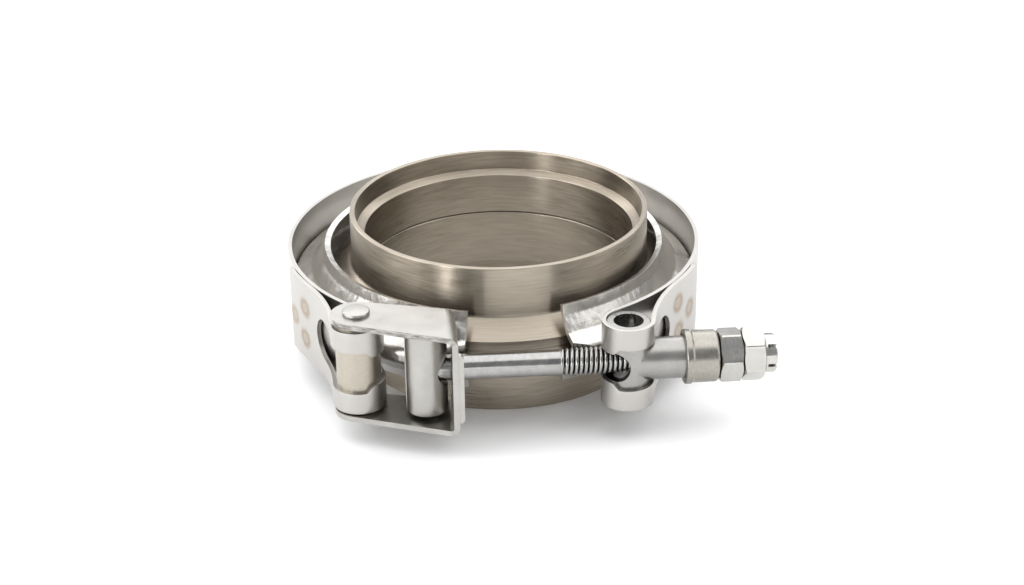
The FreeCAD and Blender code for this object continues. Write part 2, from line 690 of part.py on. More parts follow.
NUT_CORNER = "( nut_flats / 2 / cos( 30deg ) )"
NUT_BORE = "thread_radius + running_fit"


def hexagon_nut(label, start, height, turn):
    """Hexagon with both faces chamfered, bored to the thread, along X."""
    face_radius = "nut_flats / 2"
    ring = turned(label + "_turned", [
        (start, NUT_BORE),
        (start, face_radius),
        (f"{start} + nut_chamfer / 2", f"{NUT_CORNER} + 0"),
        (f"{start} + {height} - nut_chamfer / 2", f"{NUT_CORNER} + 0"),
        (f"{start} + {height}", face_radius),
        (f"{start} + {height}", NUT_BORE),
    ], axis="H_Axis")
    prism = doc.addObject("Part::Prism", label + "_bar")
    prism.Polygon = 6
    bind(prism, "Circumradius", NUT_CORNER)
    bind(prism, "Height", height)
    level = Rotation(Vector(0, 1, 0), 90)
    rolled = Rotation(Vector(1, 0, 0), value(turn)).multiply(level)
    prism.Placement = Placement(Vector(), rolled)
    bind(prism, "Placement.Base.x", start)
    nut = doc.addObject("Part::MultiCommon", label)
    nut.Shapes = [ring, prism]
    return nut


# Plain nut against the cup
NUT_START = f"( {CUP_END} + nut_play )"
adjusting_nut = hexagon_nut("adjusting_nut", NUT_START, "nut_height", "nut_turn")
at_trunnion(adjusting_nut)

# Lock nut: a hexagon with a slotted collar that grips the thread
LOCK_START = f"( {NUT_START} + nut_height )"
LOCK_FACE = f"( {LOCK_START} + lock_hex_height )"
lock_hexagon = hexagon_nut("lock_hexagon", LOCK_START, "lock_hex_height", "nut_turn - lock_nut_lag")
collar = turned("collar", [
    (f"{LOCK_FACE} - nut_chamfer", NUT_BORE),
    (f"{LOCK_FACE} - nut_chamfer", "collar_radius"),
    (f"{LOCK_FACE} + collar_height - nut_chamfer", "collar_radius"),
    (f"{LOCK_FACE} + collar_height", "collar_radius - nut_chamfer"),
    (f"{LOCK_FACE} + collar_height", NUT_BORE),
], axis="H_Axis")
lock_blank = fuse("lock_blank", [lock_hexagon, collar])
slots = []
for number in range(3):
    slot = doc.addObject("Part::Box", f"collar_slot_{number}")
    bind(slot, "Length", "collar_height")
    bind(slot, "Width", "collar_slot")
    bind(slot, "Height", "4 * collar_radius")
    spin = Rotation(Vector(1, 0, 0), 60 * number)
    slot.Placement = Placement(Vector(), spin)
    corner = spin.multVec(Vector(0, -value("collar_slot") / 2, -2 * value("collar_radius")))
    slot.Placement = Placement(Vector(value(f"{LOCK_FACE} + nut_chamfer"), corner.y, corner.z), spin)
    slots.append(slot)
lock_nut = cut("lock_nut", lock_blank, fuse("collar_slots", slots))
at_trunnion(lock_nut)

doc.recompute()

NODES = [
    "lower_flange", "upper_flange", "band_strap", "left_retainer", "right_retainer",
    "pivot_bushing", "pivot_pin", "latch_bracket", "bolt_barrel", "trunnion",
    "t_bolt", "ferrule_cup", "adjusting_nut", "lock_nut",
]
for piece in doc.Objects:
    if "Invalid" in piece.State or "Error" in piece.State:
        raise RuntimeError(f"{piece.Name} failed: {piece.State}")
os.makedirs("parts", exist_ok=True)
for label in NODES:
    piece = doc.getObjectsByLabel(label)[0]
    shape = piece.Shape
    if shape.isNull() or not shape.isValid() or len(shape.Solids) != 1:
        raise RuntimeError(f"{label} is not one valid solid")
    shape.exportStep(f"parts/{label}.step")
    box = shape.BoundBox
    print(label, round(shape.Volume, 1), [round(v, 2) for v in (
        box.XMin, box.XMax, box.YMin, box.YMax, box.ZMin, box.ZMax)])
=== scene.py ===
"""The V band clamp dressed for its photograph: bare stainless steel on a white table.

Shapes are drawn in millimetres and scaled to metres as they are placed.
"""
import bmesh
import bpy
import json
import math
from mathutils import Matrix, Vector


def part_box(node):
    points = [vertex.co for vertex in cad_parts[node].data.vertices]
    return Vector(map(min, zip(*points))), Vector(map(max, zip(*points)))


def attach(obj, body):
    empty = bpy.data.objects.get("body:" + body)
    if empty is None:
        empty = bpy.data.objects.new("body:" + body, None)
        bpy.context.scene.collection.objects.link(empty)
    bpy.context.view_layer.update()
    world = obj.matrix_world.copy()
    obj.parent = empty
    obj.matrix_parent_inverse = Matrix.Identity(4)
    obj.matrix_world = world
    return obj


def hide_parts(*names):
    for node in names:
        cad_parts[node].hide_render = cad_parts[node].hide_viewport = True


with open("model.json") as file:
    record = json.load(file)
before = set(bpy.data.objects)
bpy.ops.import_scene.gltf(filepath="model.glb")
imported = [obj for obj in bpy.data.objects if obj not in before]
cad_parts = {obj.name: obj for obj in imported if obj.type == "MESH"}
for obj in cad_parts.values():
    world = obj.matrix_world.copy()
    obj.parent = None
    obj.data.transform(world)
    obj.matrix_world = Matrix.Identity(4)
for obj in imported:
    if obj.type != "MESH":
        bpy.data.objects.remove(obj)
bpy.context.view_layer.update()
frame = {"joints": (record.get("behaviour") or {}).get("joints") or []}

# Camera. A short telephoto about 0.42 m from the clamp, looking down on its latch side
# and rolled by a fraction of a degree, as in the photograph.
LENS, SENSOR = 64.67, 36
CAMERA_SPOT, LOOK_DOWN, CAMERA_ROLL = (2.84, -375.5, 198.35), 26.44, -0.011
camera_data = bpy.data.cameras.new("camera")
camera_data.lens = LENS
camera_data.sensor_width = SENSOR
camera_data.clip_start = 0.01
camera = bpy.data.objects.new("camera", camera_data)
camera_place = Matrix.Translation(Vector(CAMERA_SPOT) / 1000)
camera_tilt = Matrix.Rotation(math.radians(90 - LOOK_DOWN), 4, "X")
camera.matrix_world = camera_place @ camera_tilt @ Matrix.Rotation(CAMERA_ROLL, 4, "Z")
bpy.context.scene.collection.objects.link(camera)
bpy.context.scene.camera = camera


# Table. A wide white sheet that runs out of view on every side, matt enough to keep
# the soft shadow under the clamp.
def plain_sheet(name, half, height, material):
    """A level square, given half its side."""
    data = bpy.data.meshes.new(name)
    corners = [(-half, -half, height), (half, -half, height), (half, half, height), (-half, half, height)]
    data.from_pydata(corners, [], [(0, 1, 2, 3)])
    data.materials.append(material)
    sheet = bpy.data.objects.new(name, data)
    bpy.context.scene.collection.objects.link(sheet)
    return sheet


paper = bpy.data.materials.new("white_table")
paper.use_nodes = True
paper_shader = paper.node_tree.nodes["Principled BSDF"]
paper_shader.inputs["Base Color"].default_value = (0.93, 0.93, 0.93, 1)
paper_shader.inputs["Roughness"].default_value = 0.75
paper_shader.inputs["Specular IOR Level"].default_value = 0.2
plain_sheet("table", 4.0, 0.0, paper)


# Light. A white tent: a broad panel overhead and smaller ones at the sides, in front and
# behind, with grey gaps between them that show as the darker bands in the steel.
LIT_POINT = Vector((0, 0, 0.02))


def panel(name, spot, width, height, power):
    """A soft light that faces the clamp's middle."""
    data = bpy.data.lights.new(name, "AREA")
    data.shape = "RECTANGLE"
    data.size = width
    data.size_y = height
    data.energy = power
    light = bpy.data.objects.new(name, data)
    facing = (Vector(spot) - LIT_POINT).to_track_quat("Z", "Y").to_matrix().to_4x4()
    light.matrix_world = Matrix.Translation(Vector(spot)) @ facing
    bpy.context.scene.collection.objects.link(light)


panel("overhead", (0.0, 0.3, 1.1), 2.6, 2.2, 33)
panel("left_side", (-1.0, -0.3, 0.45), 0.7, 0.9, 6.2)
panel("right_side", (1.05, -0.25, 0.5), 0.7, 0.9, 2.6)
panel("front_right", (0.45, -1.15, 0.10), 1.0, 0.12, 1.0)
panel("front_left", (-0.75, -0.95, 0.25), 0.18, 0.5, 4.4)
panel("backdrop", (0.0, 1.2, 0.6), 1.6, 0.8, 3.6)
panel("back_left", (-1.0, 0.75, 0.42), 0.55, 0.5, 2.8)
world = bpy.data.worlds.new("tent")
world.use_nodes = True
tent_wall = world.node_tree.nodes["Background"]
tent_wall.inputs["Color"].default_value = (0.95, 0.97, 1.0, 1)
tent_wall.inputs["Strength"].default_value = 0.42
bpy.context.scene.world = world
bpy.context.scene.view_settings.view_transform = "Standard"


# Pipe flanges. Two rings turned from stainless bar: a socket for the pipe, a conical step
# to the bore and a sloped rim, with a spigot on the lower ring that enters the upper one.
def softened(corners, radii, steps=4):
    """A closed outline with each corner rounded by its own radius; 0 keeps it sharp."""
    outline = []
    for index, radius in enumerate(radii):
        corner = Vector(corners[index])
        if radius == 0:
            outline.append(corner)
            continue
        back = (Vector(corners[index - 1]) - corner).normalized()
        ahead = (Vector(corners[(index + 1) % len(corners)]) - corner).normalized()
        half_angle = back.angle(ahead) / 2
        centre = corner + (back + ahead).normalized() * radius / math.sin(half_angle)
        first = corner + back * radius / math.tan(half_angle) - centre
        last = corner + ahead * radius / math.tan(half_angle) - centre
        sweep = math.atan2(first.x * last.y - first.y * last.x, first.dot(last))
        for step in range(steps + 1):
            turn = Matrix.Rotation(sweep * step / steps, 2)
            outline.append(centre + turn @ first)
    return outline


def outline_at(shape, outline, angle):
    """Points of an outline of radii and heights, at an angle about Z."""
    return [shape.verts.new((r * math.cos(angle), r * math.sin(angle), z)) for r, z in outline]


def spun(outline, steps=192):
    """A solid turned about Z from a closed outline of radii and heights."""
    shape = bmesh.new()
    rings = [outline_at(shape, outline, math.tau * step / steps) for step in range(steps)]
    for here, there in zip(rings, rings[1:] + rings[:1]):
        for index in range(len(outline)):
            corners = (here[index - 1], there[index - 1], there[index], here[index])
            shape.faces.new(corners)
    bmesh.ops.remove_doubles(shape, verts=shape.verts, dist=1e-5)
    bmesh.ops.recalc_face_normals(shape, faces=shape.faces)
    return shape


TO_METRES = Matrix.Scale(0.001, 4)
BREAK_ABOVE, SHARP_ABOVE = math.radians(40), math.radians(38)


def add_piece(
    name, shape, place, material, body, node, thickness=0.0, edge=0.0, cutters=(), extra=(),
):
    """Turn a shape into a finished piece that stands for a CAD node.

    A sheet gets its thickness, then it is cut and joined with other shapes, then its
    edges are broken.
    """
    def to_object(label, drawn):
        data = bpy.data.meshes.new(label)
        drawn.to_mesh(data)
        drawn.free()
        data.transform(TO_METRES @ place)
        data.materials.append(material)
        item = bpy.data.objects.new(label, data)
        bpy.context.scene.collection.objects.link(item)
        return item

    piece = to_object(name, shape)
    if thickness:
        wall = piece.modifiers.new("wall", "SOLIDIFY")
        wall.thickness = thickness / 1000
        wall.offset = 0
        wall.use_even_offset = True
    tools = [to_object(name + "_cut", drawn) for drawn in cutters]
    added = [to_object(name + "_join", drawn) for drawn in extra]
    for tool in added + tools:
        step = piece.modifiers.new("shape", "BOOLEAN")
        step.operation = "UNION" if tool in added else "DIFFERENCE"
        step.solver = "EXACT"
        step.object = tool
    if edge:
        broken = piece.modifiers.new("edges", "BEVEL")
        broken.width = edge / 1000
        broken.segments = 3
        broken.limit_method = "ANGLE"
        broken.angle_limit = BREAK_ABOVE
    ready = piece.evaluated_get(bpy.context.evaluated_depsgraph_get())
    data = bpy.data.meshes.new_from_object(ready)
    piece.modifiers.clear()
    piece.data = data
    for tool in tools + added:
        bpy.data.objects.remove(tool)
    data.shade_smooth()
    data.set_sharp_from_angle(angle=SHARP_ABOVE)
    even = piece.modifiers.new("shading", "WEIGHTED_NORMAL")
    even.keep_sharp = True
    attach(piece, body)
    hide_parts(node)
    return piece


def finish_group(name, inputs):
    """An empty shader group that gives a Tone and a Relief, each from 0 to 1."""
    group = bpy.data.node_groups.new(name, "ShaderNodeTree")
    group.interface.new_socket("Position", in_out="INPUT", socket_type="NodeSocketVector")
    for label, default in inputs.items():
        socket = group.interface.new_socket(label, in_out="INPUT", socket_type="NodeSocketFloat")
        socket.default_value = default
    for label in ("Tone", "Relief"):
        group.interface.new_socket(label, in_out="OUTPUT", socket_type="NodeSocketFloat")
    return group, group.nodes.new("NodeGroupInput"), group.nodes.new("NodeGroupOutput")


def number(group, operation, first, second=None):
    """A maths node on sockets or plain numbers; gives its output socket."""
    node = group.nodes.new("ShaderNodeMath")
    node.operation = operation
    for index, source in enumerate((first, second)):
        if isinstance(source, bpy.types.NodeSocket):
            group.links.new(source, node.inputs[index])
        elif source is not None:
            node.inputs[index].default_value = source
    return node.outputs[0]


def mixed(group, *shares):
    """The sum of several sockets, each times its share."""
    total = None
    for source, share in shares:
        part = number(group, "MULTIPLY", source, share)
        total = part if total is None else number(group, "ADD", total, part)
    return total


def noise(group, position, scale, detail, roughness=0.55):
    """Noise at a scale in cycles per metre, from a socket or a plain number."""
    node = group.nodes.new("ShaderNodeTexNoise")
    group.links.new(position, node.inputs["Vector"])
    if isinstance(scale, bpy.types.NodeSocket):
        group.links.new(scale, node.inputs["Scale"])
    else:
        node.inputs["Scale"].default_value = scale
    node.inputs["Detail"].default_value = detail
    node.inputs["Roughness"].default_value = roughness
    return node.outputs["Fac"]


def radius_and_angle(group, position):
    """Radius from the Z axis, height and angle about it, of a position socket."""
    split = group.nodes.new("ShaderNodeSeparateXYZ")
    group.links.new(position, split.inputs[0])
    across = number(group, "POWER", split.outputs["X"], 2)
    deep = number(group, "POWER", split.outputs["Y"], 2)
    radius = number(group, "SQRT", number(group, "ADD", across, deep))
    angle = number(group, "ARCTAN2", split.outputs["Y"], split.outputs["X"])
    return radius, split.outputs["Z"], angle


def packed(group, x, y, z):
    """Three numbers joined to a position."""
    node = group.nodes.new("ShaderNodeCombineXYZ")
    for index, source in enumerate((x, y, z)):
        if isinstance(source, bpy.types.NodeSocket):
            group.links.new(source, node.inputs[index])
        else:
            node.inputs[index].default_value = source
    return node.outputs[0]


def turning_marks():
    """Fine scratches that run round the piece, left by turning and by an abrasive cloth."""
    group, given, result = finish_group("turning_marks", {"Rings": 1600, "Mottle": 45})
    radius, height, angle = radius_and_angle(group, given.outputs["Position"])
    long_drawn, short_drawn = 0.0022, 0.008
    ring_place = packed(group, radius, height, number(group, "MULTIPLY", angle, long_drawn))
    rings = noise(group, ring_place, given.outputs["Rings"], 2)
    broad_place = packed(group, radius, height, number(group, "MULTIPLY", angle, short_drawn))
    broad = noise(group, broad_place, 260, 2)
    mottle = noise(group, given.outputs["Position"], given.outputs["Mottle"], 1)
    group.links.new(mixed(group, (mottle, 0.25), (broad, 0.25), (rings, 0.5)), result.inputs["Tone"])
    group.links.new(rings, result.inputs["Relief"])
    return group


def lay_brushing(material, strength):
    """Stretch the highlights across scratches that run about the Z axis of the material's place."""
    tree = material.node_tree
    round_way = tree.nodes.new("ShaderNodeVectorMath")
    round_way.operation = "CROSS_PRODUCT"
    round_way.inputs[0].default_value = (0, 0, 1)
    tree.links.new(tree.nodes["laid"].outputs["Vector"], round_way.inputs[1])
    shader = tree.nodes["Principled BSDF"]
    tree.links.new(round_way.outputs["Vector"], shader.inputs["Tangent"])
    shader.inputs["Anisotropic"].default_value = strength
    shader.inputs["Anisotropic Rotation"].default_value = 0.25


TONE_RANGE = (0.3, 0.7)


def steel(name, finish, settings, pale, deep, roughness, depth, place=Matrix()):
    """Bare steel whose tone, gloss and relief follow a finish group, laid out along a place."""
    material = bpy.data.materials.new(name)
    material.use_nodes = True
    tree = material.node_tree
    shader = tree.nodes["Principled BSDF"]
    shader.inputs["Metallic"].default_value = 1
    where = tree.nodes.new("ShaderNodeTexCoord")
    where.name = "where"
    laid = tree.nodes.new("ShaderNodeMapping")
    laid.name = "laid"
    laid.vector_type = "TEXTURE"
    laid.inputs["Location"].default_value = place.to_translation() / 1000
    laid.inputs["Rotation"].default_value = place.to_euler()
    tree.links.new(where.outputs["Object"], laid.inputs["Vector"])
    pattern = tree.nodes.new("ShaderNodeGroup")
    pattern.name = "pattern"
    pattern.node_tree = finish
    for label, amount in settings.items():
        pattern.inputs[label].default_value = amount
    tree.links.new(laid.outputs["Vector"], pattern.inputs["Position"])
    colour = tree.nodes.new("ShaderNodeValToRGB")
    colour.name = "colour"
    for stop, position, tint in zip(colour.color_ramp.elements, TONE_RANGE, (deep, pale)):
        stop.position = position
        stop.color = (*tint, 1)
    tree.links.new(pattern.outputs["Tone"], colour.inputs["Fac"])
    tree.links.new(colour.outputs["Color"], shader.inputs["Base Color"])
    gloss = tree.nodes.new("ShaderNodeMapRange")
    for label, limit in zip(("From Min", "From Max", "To Min", "To Max"), TONE_RANGE + roughness):
        gloss.inputs[label].default_value = limit
    tree.links.new(pattern.outputs["Tone"], gloss.inputs["Value"])
    tree.links.new(gloss.outputs["Result"], shader.inputs["Roughness"])
    bump = tree.nodes.new("ShaderNodeBump")
    bump.name = "bump"
    bump.inputs["Distance"].default_value = depth / 1000
    tree.links.new(pattern.outputs["Relief"], bump.inputs["Height"])
    tree.links.new(bump.outputs["Normal"], shader.inputs["Normal"])
    return material


turning = turning_marks()
flange_steel = steel(
    "turned_flange_steel", turning, {"Rings": 2300, "Mottle": 40},
    pale=(0.455, 0.402, 0.332), deep=(0.265, 0.230, 0.186), roughness=(0.25, 0.40), depth=0.005,
)
lay_brushing(flange_steel, 0.85)
SOCKET, NECK, BORE, RIM = 31.85, 33.1, 29.9, 38.25
SOCKET_DEPTH, SHOULDER = 4.5, 0.9
RIM_EDGE, NECK_FILLET = 2.1, 0.9
SPIGOT, SPIGOT_HEIGHT, SPIGOT_PLAY = 32.0, 1.4, 0.1
BROKEN, CORNER = 0.25, 0.15
LOWER_SEAM, UPPER_SEAM = 0.3, 0.55
BOTTOM = 0.0
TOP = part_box("upper_flange")[1].z * 1000
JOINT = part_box("upper_flange")[0].z * 1000
SLOPE = (RIM - NECK) * math.tan(math.radians(32))
lower_outline = softened(
    [
        (SOCKET, BOTTOM), (NECK, BOTTOM), (NECK, JOINT - RIM_EDGE - SLOPE), (RIM, JOINT - RIM_EDGE),
        (RIM, JOINT), (SPIGOT, JOINT), (SPIGOT, JOINT + SPIGOT_HEIGHT), (BORE, JOINT + SPIGOT_HEIGHT),
        (BORE, SOCKET_DEPTH + SHOULDER), (SOCKET, SOCKET_DEPTH),
    ],
    [BROKEN, BROKEN, NECK_FILLET, BROKEN, BROKEN, BROKEN, BROKEN, LOWER_SEAM, BROKEN, CORNER],
)
add_piece(
    "lower_flange_turned", spun(lower_outline), Matrix(), flange_steel, "flanges", "lower_flange",
)
recess = JOINT + SPIGOT_HEIGHT + SPIGOT_PLAY
upper_outline = softened(
    [
        (SPIGOT + SPIGOT_PLAY, JOINT), (RIM, JOINT), (RIM, JOINT + RIM_EDGE),
        (NECK, JOINT + RIM_EDGE + SLOPE), (NECK, TOP), (SOCKET, TOP), (SOCKET, TOP - SOCKET_DEPTH),
        (BORE, TOP - SOCKET_DEPTH - SHOULDER), (BORE, recess), (SPIGOT + SPIGOT_PLAY, recess),
    ],
    [BROKEN, BROKEN, BROKEN, NECK_FILLET, BROKEN, BROKEN, CORNER, BROKEN, UPPER_SEAM, CORNER],
)
add_piece(
    "upper_flange_turned", spun(upper_outline), Matrix(), flange_steel, "flanges", "upper_flange",
)


# Strap. One strip of rolled stainless, punched with two slots, bent back round a loop at
# each end and spot-welded to itself; the welds leave straw-coloured rings.
CLAMP_SHIFT = -1.2
LOOP_ANGLE = math.radians(33.35)
STRAP_INSIDE, STRAP_SHEET, STRAP_WIDTH = 45.0, 0.9, 18.6
LAYER_GAP, LEG_RADIUS = 0.1, 39.0
TAIL_ANGLE, TAIL_RADIUS = math.radians(36.15), 60.0
LOOP_BORE = 4.6
WINDOW_HALF, BOLT_SLOT_HALF = 4.7, 3.35
WINDOW_REACH, WINDOW_TURN, BOLT_SLOT_TURN = 15.0, math.radians(113), math.radians(224)
WINDOW_EASE = 1.6
clamp_middle = Matrix.Translation((CLAMP_SHIFT, 0, JOINT))


def on_circle(angle, radius=1.0):
    """The point on a circle about the origin at an angle from X."""
    return Vector((math.cos(angle), math.sin(angle))) * radius


def end_arcs():
    """Arcs of the strap's right end, from its tail to the foot of its loop: centre, radius, angles."""
    inner = STRAP_INSIDE + STRAP_SHEET / 2
    outer = inner + STRAP_SHEET + LAYER_GAP
    wrap = LOOP_BORE + STRAP_SHEET / 2
    loop_way = LOOP_ANGLE - math.pi / 2
    loop = on_circle(loop_way, STRAP_INSIDE + STRAP_SHEET + LOOP_BORE)
    reach = outer + LEG_RADIUS
    cosine = (reach ** 2 + loop.length_squared - (wrap + LEG_RADIUS) ** 2) / (2 * reach * loop.length)
    leave = loop_way + math.acos(cosine)
    hollow = on_circle(leave, reach)
    side = math.atan2(loop.y - hollow.y, loop.x - hollow.x)
    tail_turn = (loop_way + TAIL_ANGLE - leave) * outer / TAIL_RADIUS
    return [
        (on_circle(leave, outer - TAIL_RADIUS), TAIL_RADIUS, leave + tail_turn, leave),
        (hollow, LEG_RADIUS, leave + math.pi, side),
        (loop, wrap, side + math.pi, loop_way + math.pi),
    ]


def arc_length(arc):
    """The length of an arc given by its centre, radius and two angles."""
    return arc[1] * abs(arc[3] - arc[2])


right_arcs = end_arcs()
back_start, back_end = LOOP_ANGLE - math.pi / 2, 1.5 * math.pi - LOOP_ANGLE
round_back = (Vector((0, 0)), STRAP_INSIDE + STRAP_SHEET / 2, back_start, back_end)
left_arcs = []
for centre, radius, first, last in reversed(right_arcs):
    left_arcs.append((Vector((-centre.x, centre.y)), radius, math.pi - last, math.pi - first))
strap_path = right_arcs + [round_back] + left_arcs
strap_length = sum(arc_length(arc) for arc in strap_path)


def along(path, distance):
    """The point at a distance along a path of arcs."""
    for centre, radius, first, last in path:
        length = radius * abs(last - first)
        if distance <= length or centre is path[-1][0]:
            return centre + on_circle(first + (last - first) * distance / length, radius)
        distance -= length


before_loop = arc_length(right_arcs[0]) + arc_length(right_arcs[1])
loop_radius = right_arcs[2][1]
window_start = before_loop - WINDOW_REACH
window_end = before_loop + loop_radius * WINDOW_TURN
bolt_slot_end = before_loop + loop_radius * BOLT_SLOT_TURN


def slot_half_height(distance):
    """Half the opening at a distance from a tail: a window for the sleeve, then a slot for the bolt."""
    if distance <= window_start or distance >= bolt_slot_end:
        return 0.0
    if distance < window_start + WINDOW_HALF:
        return math.sqrt(WINDOW_HALF ** 2 - (window_start + WINDOW_HALF - distance) ** 2)
    if distance > bolt_slot_end - BOLT_SLOT_HALF:
        return math.sqrt(max(BOLT_SLOT_HALF ** 2 - (distance - bolt_slot_end + BOLT_SLOT_HALF) ** 2, 0))
    share = min(max((distance - window_end + WINDOW_EASE / 2) / WINDOW_EASE, 0), 1)
    ease = share * share * (3 - 2 * share)
    return WINDOW_HALF + (BOLT_SLOT_HALF - WINDOW_HALF) * ease


def strap_columns():
    """Distances along one half of the strap, closer together where the slot's ends are round."""
    columns = {0.0, window_start, bolt_slot_end, strap_length / 2}
    round_steps, slot_step, skip_step, plain_step = 12, 0.5, 0.7, 1.2
    margin, round_part = 0.3, 0.9
    for step in range(1, round_steps):
        round_share = 1 - math.cos(math.pi / 2 * step / round_steps)
        columns.add(window_start + WINDOW_HALF * round_share)
        columns.add(bolt_slot_end - BOLT_SLOT_HALF * round_share)
    place = skip_step
    while place < strap_length / 2:
        if window_start - margin < place < window_start + WINDOW_HALF * round_part:
            place += skip_step
            continue
        if bolt_slot_end - BOLT_SLOT_HALF * round_part < place < bolt_slot_end + margin:
            place += slot_step
            continue
        columns.add(place)
        place += slot_step if window_start < place < bolt_slot_end else plain_step
    return sorted(columns)


def folded_strap():
    """The slotted strip laid along its path, as a sheet without thickness."""
    shape = bmesh.new()
    half_columns = strap_columns()
    columns = half_columns + [strap_length - place for place in reversed(half_columns[:-1])]
    rows = 6
    edge = STRAP_WIDTH / 2
    strips = []
    for place in columns:
        point = along(strap_path, place)
        opening = slot_half_height(min(place, strap_length - place))
        heights = [edge + (opening - edge) * row / rows for row in range(rows + 1)]
        above = [shape.verts.new((point.x, point.y, height)) for height in heights]
        below = [shape.verts.new((point.x, point.y, -height)) for height in heights]
        strips.append((above, below))
    for here, there in zip(strips, strips[1:]):
        for near, beyond in zip(here, there):
            for row in range(rows):
                shape.faces.new((near[row], near[row + 1], beyond[row + 1], beyond[row]))
    bmesh.ops.remove_doubles(shape, verts=shape.verts, dist=1e-4)
    bmesh.ops.recalc_face_normals(shape, faces=shape.faces)
    return shape


def rolled_grain():
    """Tumbled sheet: soft clouds, a fine grain and a few faint dents."""
    group, given, result = finish_group("rolled_grain", {"Grain": 3800, "Clouds": 120, "Dents": 0.35})
    position = given.outputs["Position"]
    grain = noise(group, position, given.outputs["Grain"], 3)
    clouds = noise(group, position, given.outputs["Clouds"], 5)
    dents = noise(group, position, 330, 2)
    group.links.new(mixed(group, (clouds, 0.75), (grain, 0.25)), result.inputs["Tone"])
    relief = mixed(group, (dents, given.outputs["Dents"]), (grain, 0.25))
    group.links.new(relief, result.inputs["Relief"])
    return group


rolled = rolled_grain()
strap_steel = steel(
    "strap_steel", rolled, {"Grain": 3500, "Clouds": 90, "Dents": 0.5},
    pale=(0.48, 0.467, 0.445), deep=(0.42, 0.403, 0.38), roughness=(0.30, 0.42), depth=0.02,
)
WELD_REACH = STRAP_INSIDE + 2 * STRAP_SHEET + LAYER_GAP
WELDS = [(-66.7, -0.8), (-59.4, 3.4), (-60.1, -4.2), (57.3, 4.3), (64.7, 0.6), (58.1, -2.6)]
WELD_RADIUS, TINT_SPREAD, RING_WOBBLE, DIMPLE = 2.5, 1.35, 0.0008, 3.0
MIDDLE_TINT, RING_TINTS = 0.75, [(0.38, 0.62), (0.55, 1.0), (0.70, 0.75), (0.84, 0.25)]
STRAW = (0.30, 0.24, 0.18)


def paint_over(material, share, colour):
    """Mix another colour over a steel's own, by a share from 0 to 1."""
    tree = material.node_tree
    paint = tree.nodes.new("ShaderNodeMix")
    paint.data_type = "RGBA"
    own_colour, other_colour = paint.inputs[6], paint.inputs[7]
    tree.links.new(share, paint.inputs["Factor"])
    tree.links.new(tree.nodes["colour"].outputs["Color"], own_colour)
    other_colour.default_value = (*colour, 1)
    tree.links.new(paint.outputs[2], tree.nodes["Principled BSDF"].inputs["Base Color"])


def add_weld_rings(material):
    """Tint a ring round each spot weld and press its middle in slightly."""
    tree = material.node_tree
    where = tree.nodes["where"].outputs["Object"]
    nearest = None
    for degrees, height in WELDS:
        spot = on_circle(math.radians(degrees - 90), WELD_REACH)
        middle = Vector((spot.x + CLAMP_SHIFT, spot.y, JOINT + height)) / 1000
        away = tree.nodes.new("ShaderNodeVectorMath")
        away.operation = "DISTANCE"
        tree.links.new(where, away.inputs[0])
        away.inputs[1].default_value = middle
        distance = away.outputs["Value"]
        nearest = distance if nearest is None else number(tree, "MINIMUM", nearest, distance)
    uneven = number(tree, "MULTIPLY", noise(tree, where, 700, 3), RING_WOBBLE)
    nearest = number(tree, "ADD", nearest, uneven)
    ring = tree.nodes.new("ShaderNodeValToRGB")
    ring.color_ramp.interpolation = "EASE"
    stops = ring.color_ramp.elements
    stops[0].color = (MIDDLE_TINT, MIDDLE_TINT, MIDDLE_TINT, 1)
    stops[1].color = (0, 0, 0, 1)
    for position, level in RING_TINTS:
        stops.new(position).color = (level, level, level, 1)
    spread = 1000 / (WELD_RADIUS * TINT_SPREAD)
    tree.links.new(number(tree, "MULTIPLY", nearest, spread), ring.inputs["Fac"])
    paint_over(material, ring.outputs["Color"], STRAW)
    pressed = number(tree, "SMOOTH_MIN", number(tree, "MULTIPLY", nearest, 1000 / WELD_RADIUS), 1.0)
    relief = tree.nodes["pattern"].outputs["Relief"]
    height = number(tree, "ADD", relief, number(tree, "MULTIPLY", pressed, DIMPLE))
    tree.links.new(height, tree.nodes["bump"].inputs["Height"])


add_weld_rings(strap_steel)
add_piece(
    "strap_folded", folded_strap(), clamp_middle, strap_steel, "band", "band_strap",
    thickness=STRAP_SHEET, edge=0.2,
)


# Retainers. Two V sections pressed from stainless sheet, which hook over both rims and
# are spot-welded inside the strap. The press leaves glossy flanks with ripples across
# them, and the ends are notched to let the bolt past.
RETAINER_SHEET = 1.3
RETAINER_HALF = [(44.97, 1.65), (40.85, 3.65), (38.35, 6.9), (37.7, 8.95)]
LEFT_END, RIGHT_END, REAR_GAP = math.radians(8), math.radians(22.6), math.radians(10)
joints = {joint["name"]: joint for joint in frame["joints"]}
trunnion_spot = Vector(joints["bolt_swing"]["pos_m"]) * 1000
pivot_spot = Vector(joints["latch_swing"]["pos_m"]) * 1000
along_bolt = Vector(joints["nut_turn"]["axis"])
bolt_turn = math.atan2(along_bolt.y, along_bolt.x)
at_trunnion = Matrix.Translation(trunnion_spot) @ Matrix.Rotation(bolt_turn, 4, "Z")
BOLT_REACH = 41.5


def swept_section(outline, first, last, step=math.radians(1.25)):
    """A sheet without thickness: an open outline of radii and heights swept about Z."""
    shape = bmesh.new()
    count = round((last - first) / step)
    lines = []
    for index in range(count + 1):
        lines.append(outline_at(shape, outline, first + (last - first) * index / count))
    for here, there in zip(lines, lines[1:]):
        for row in range(len(outline) - 1):
            shape.faces.new((here[row], there[row], there[row + 1], here[row + 1]))
    bmesh.ops.recalc_face_normals(shape, faces=shape.faces)
    return shape


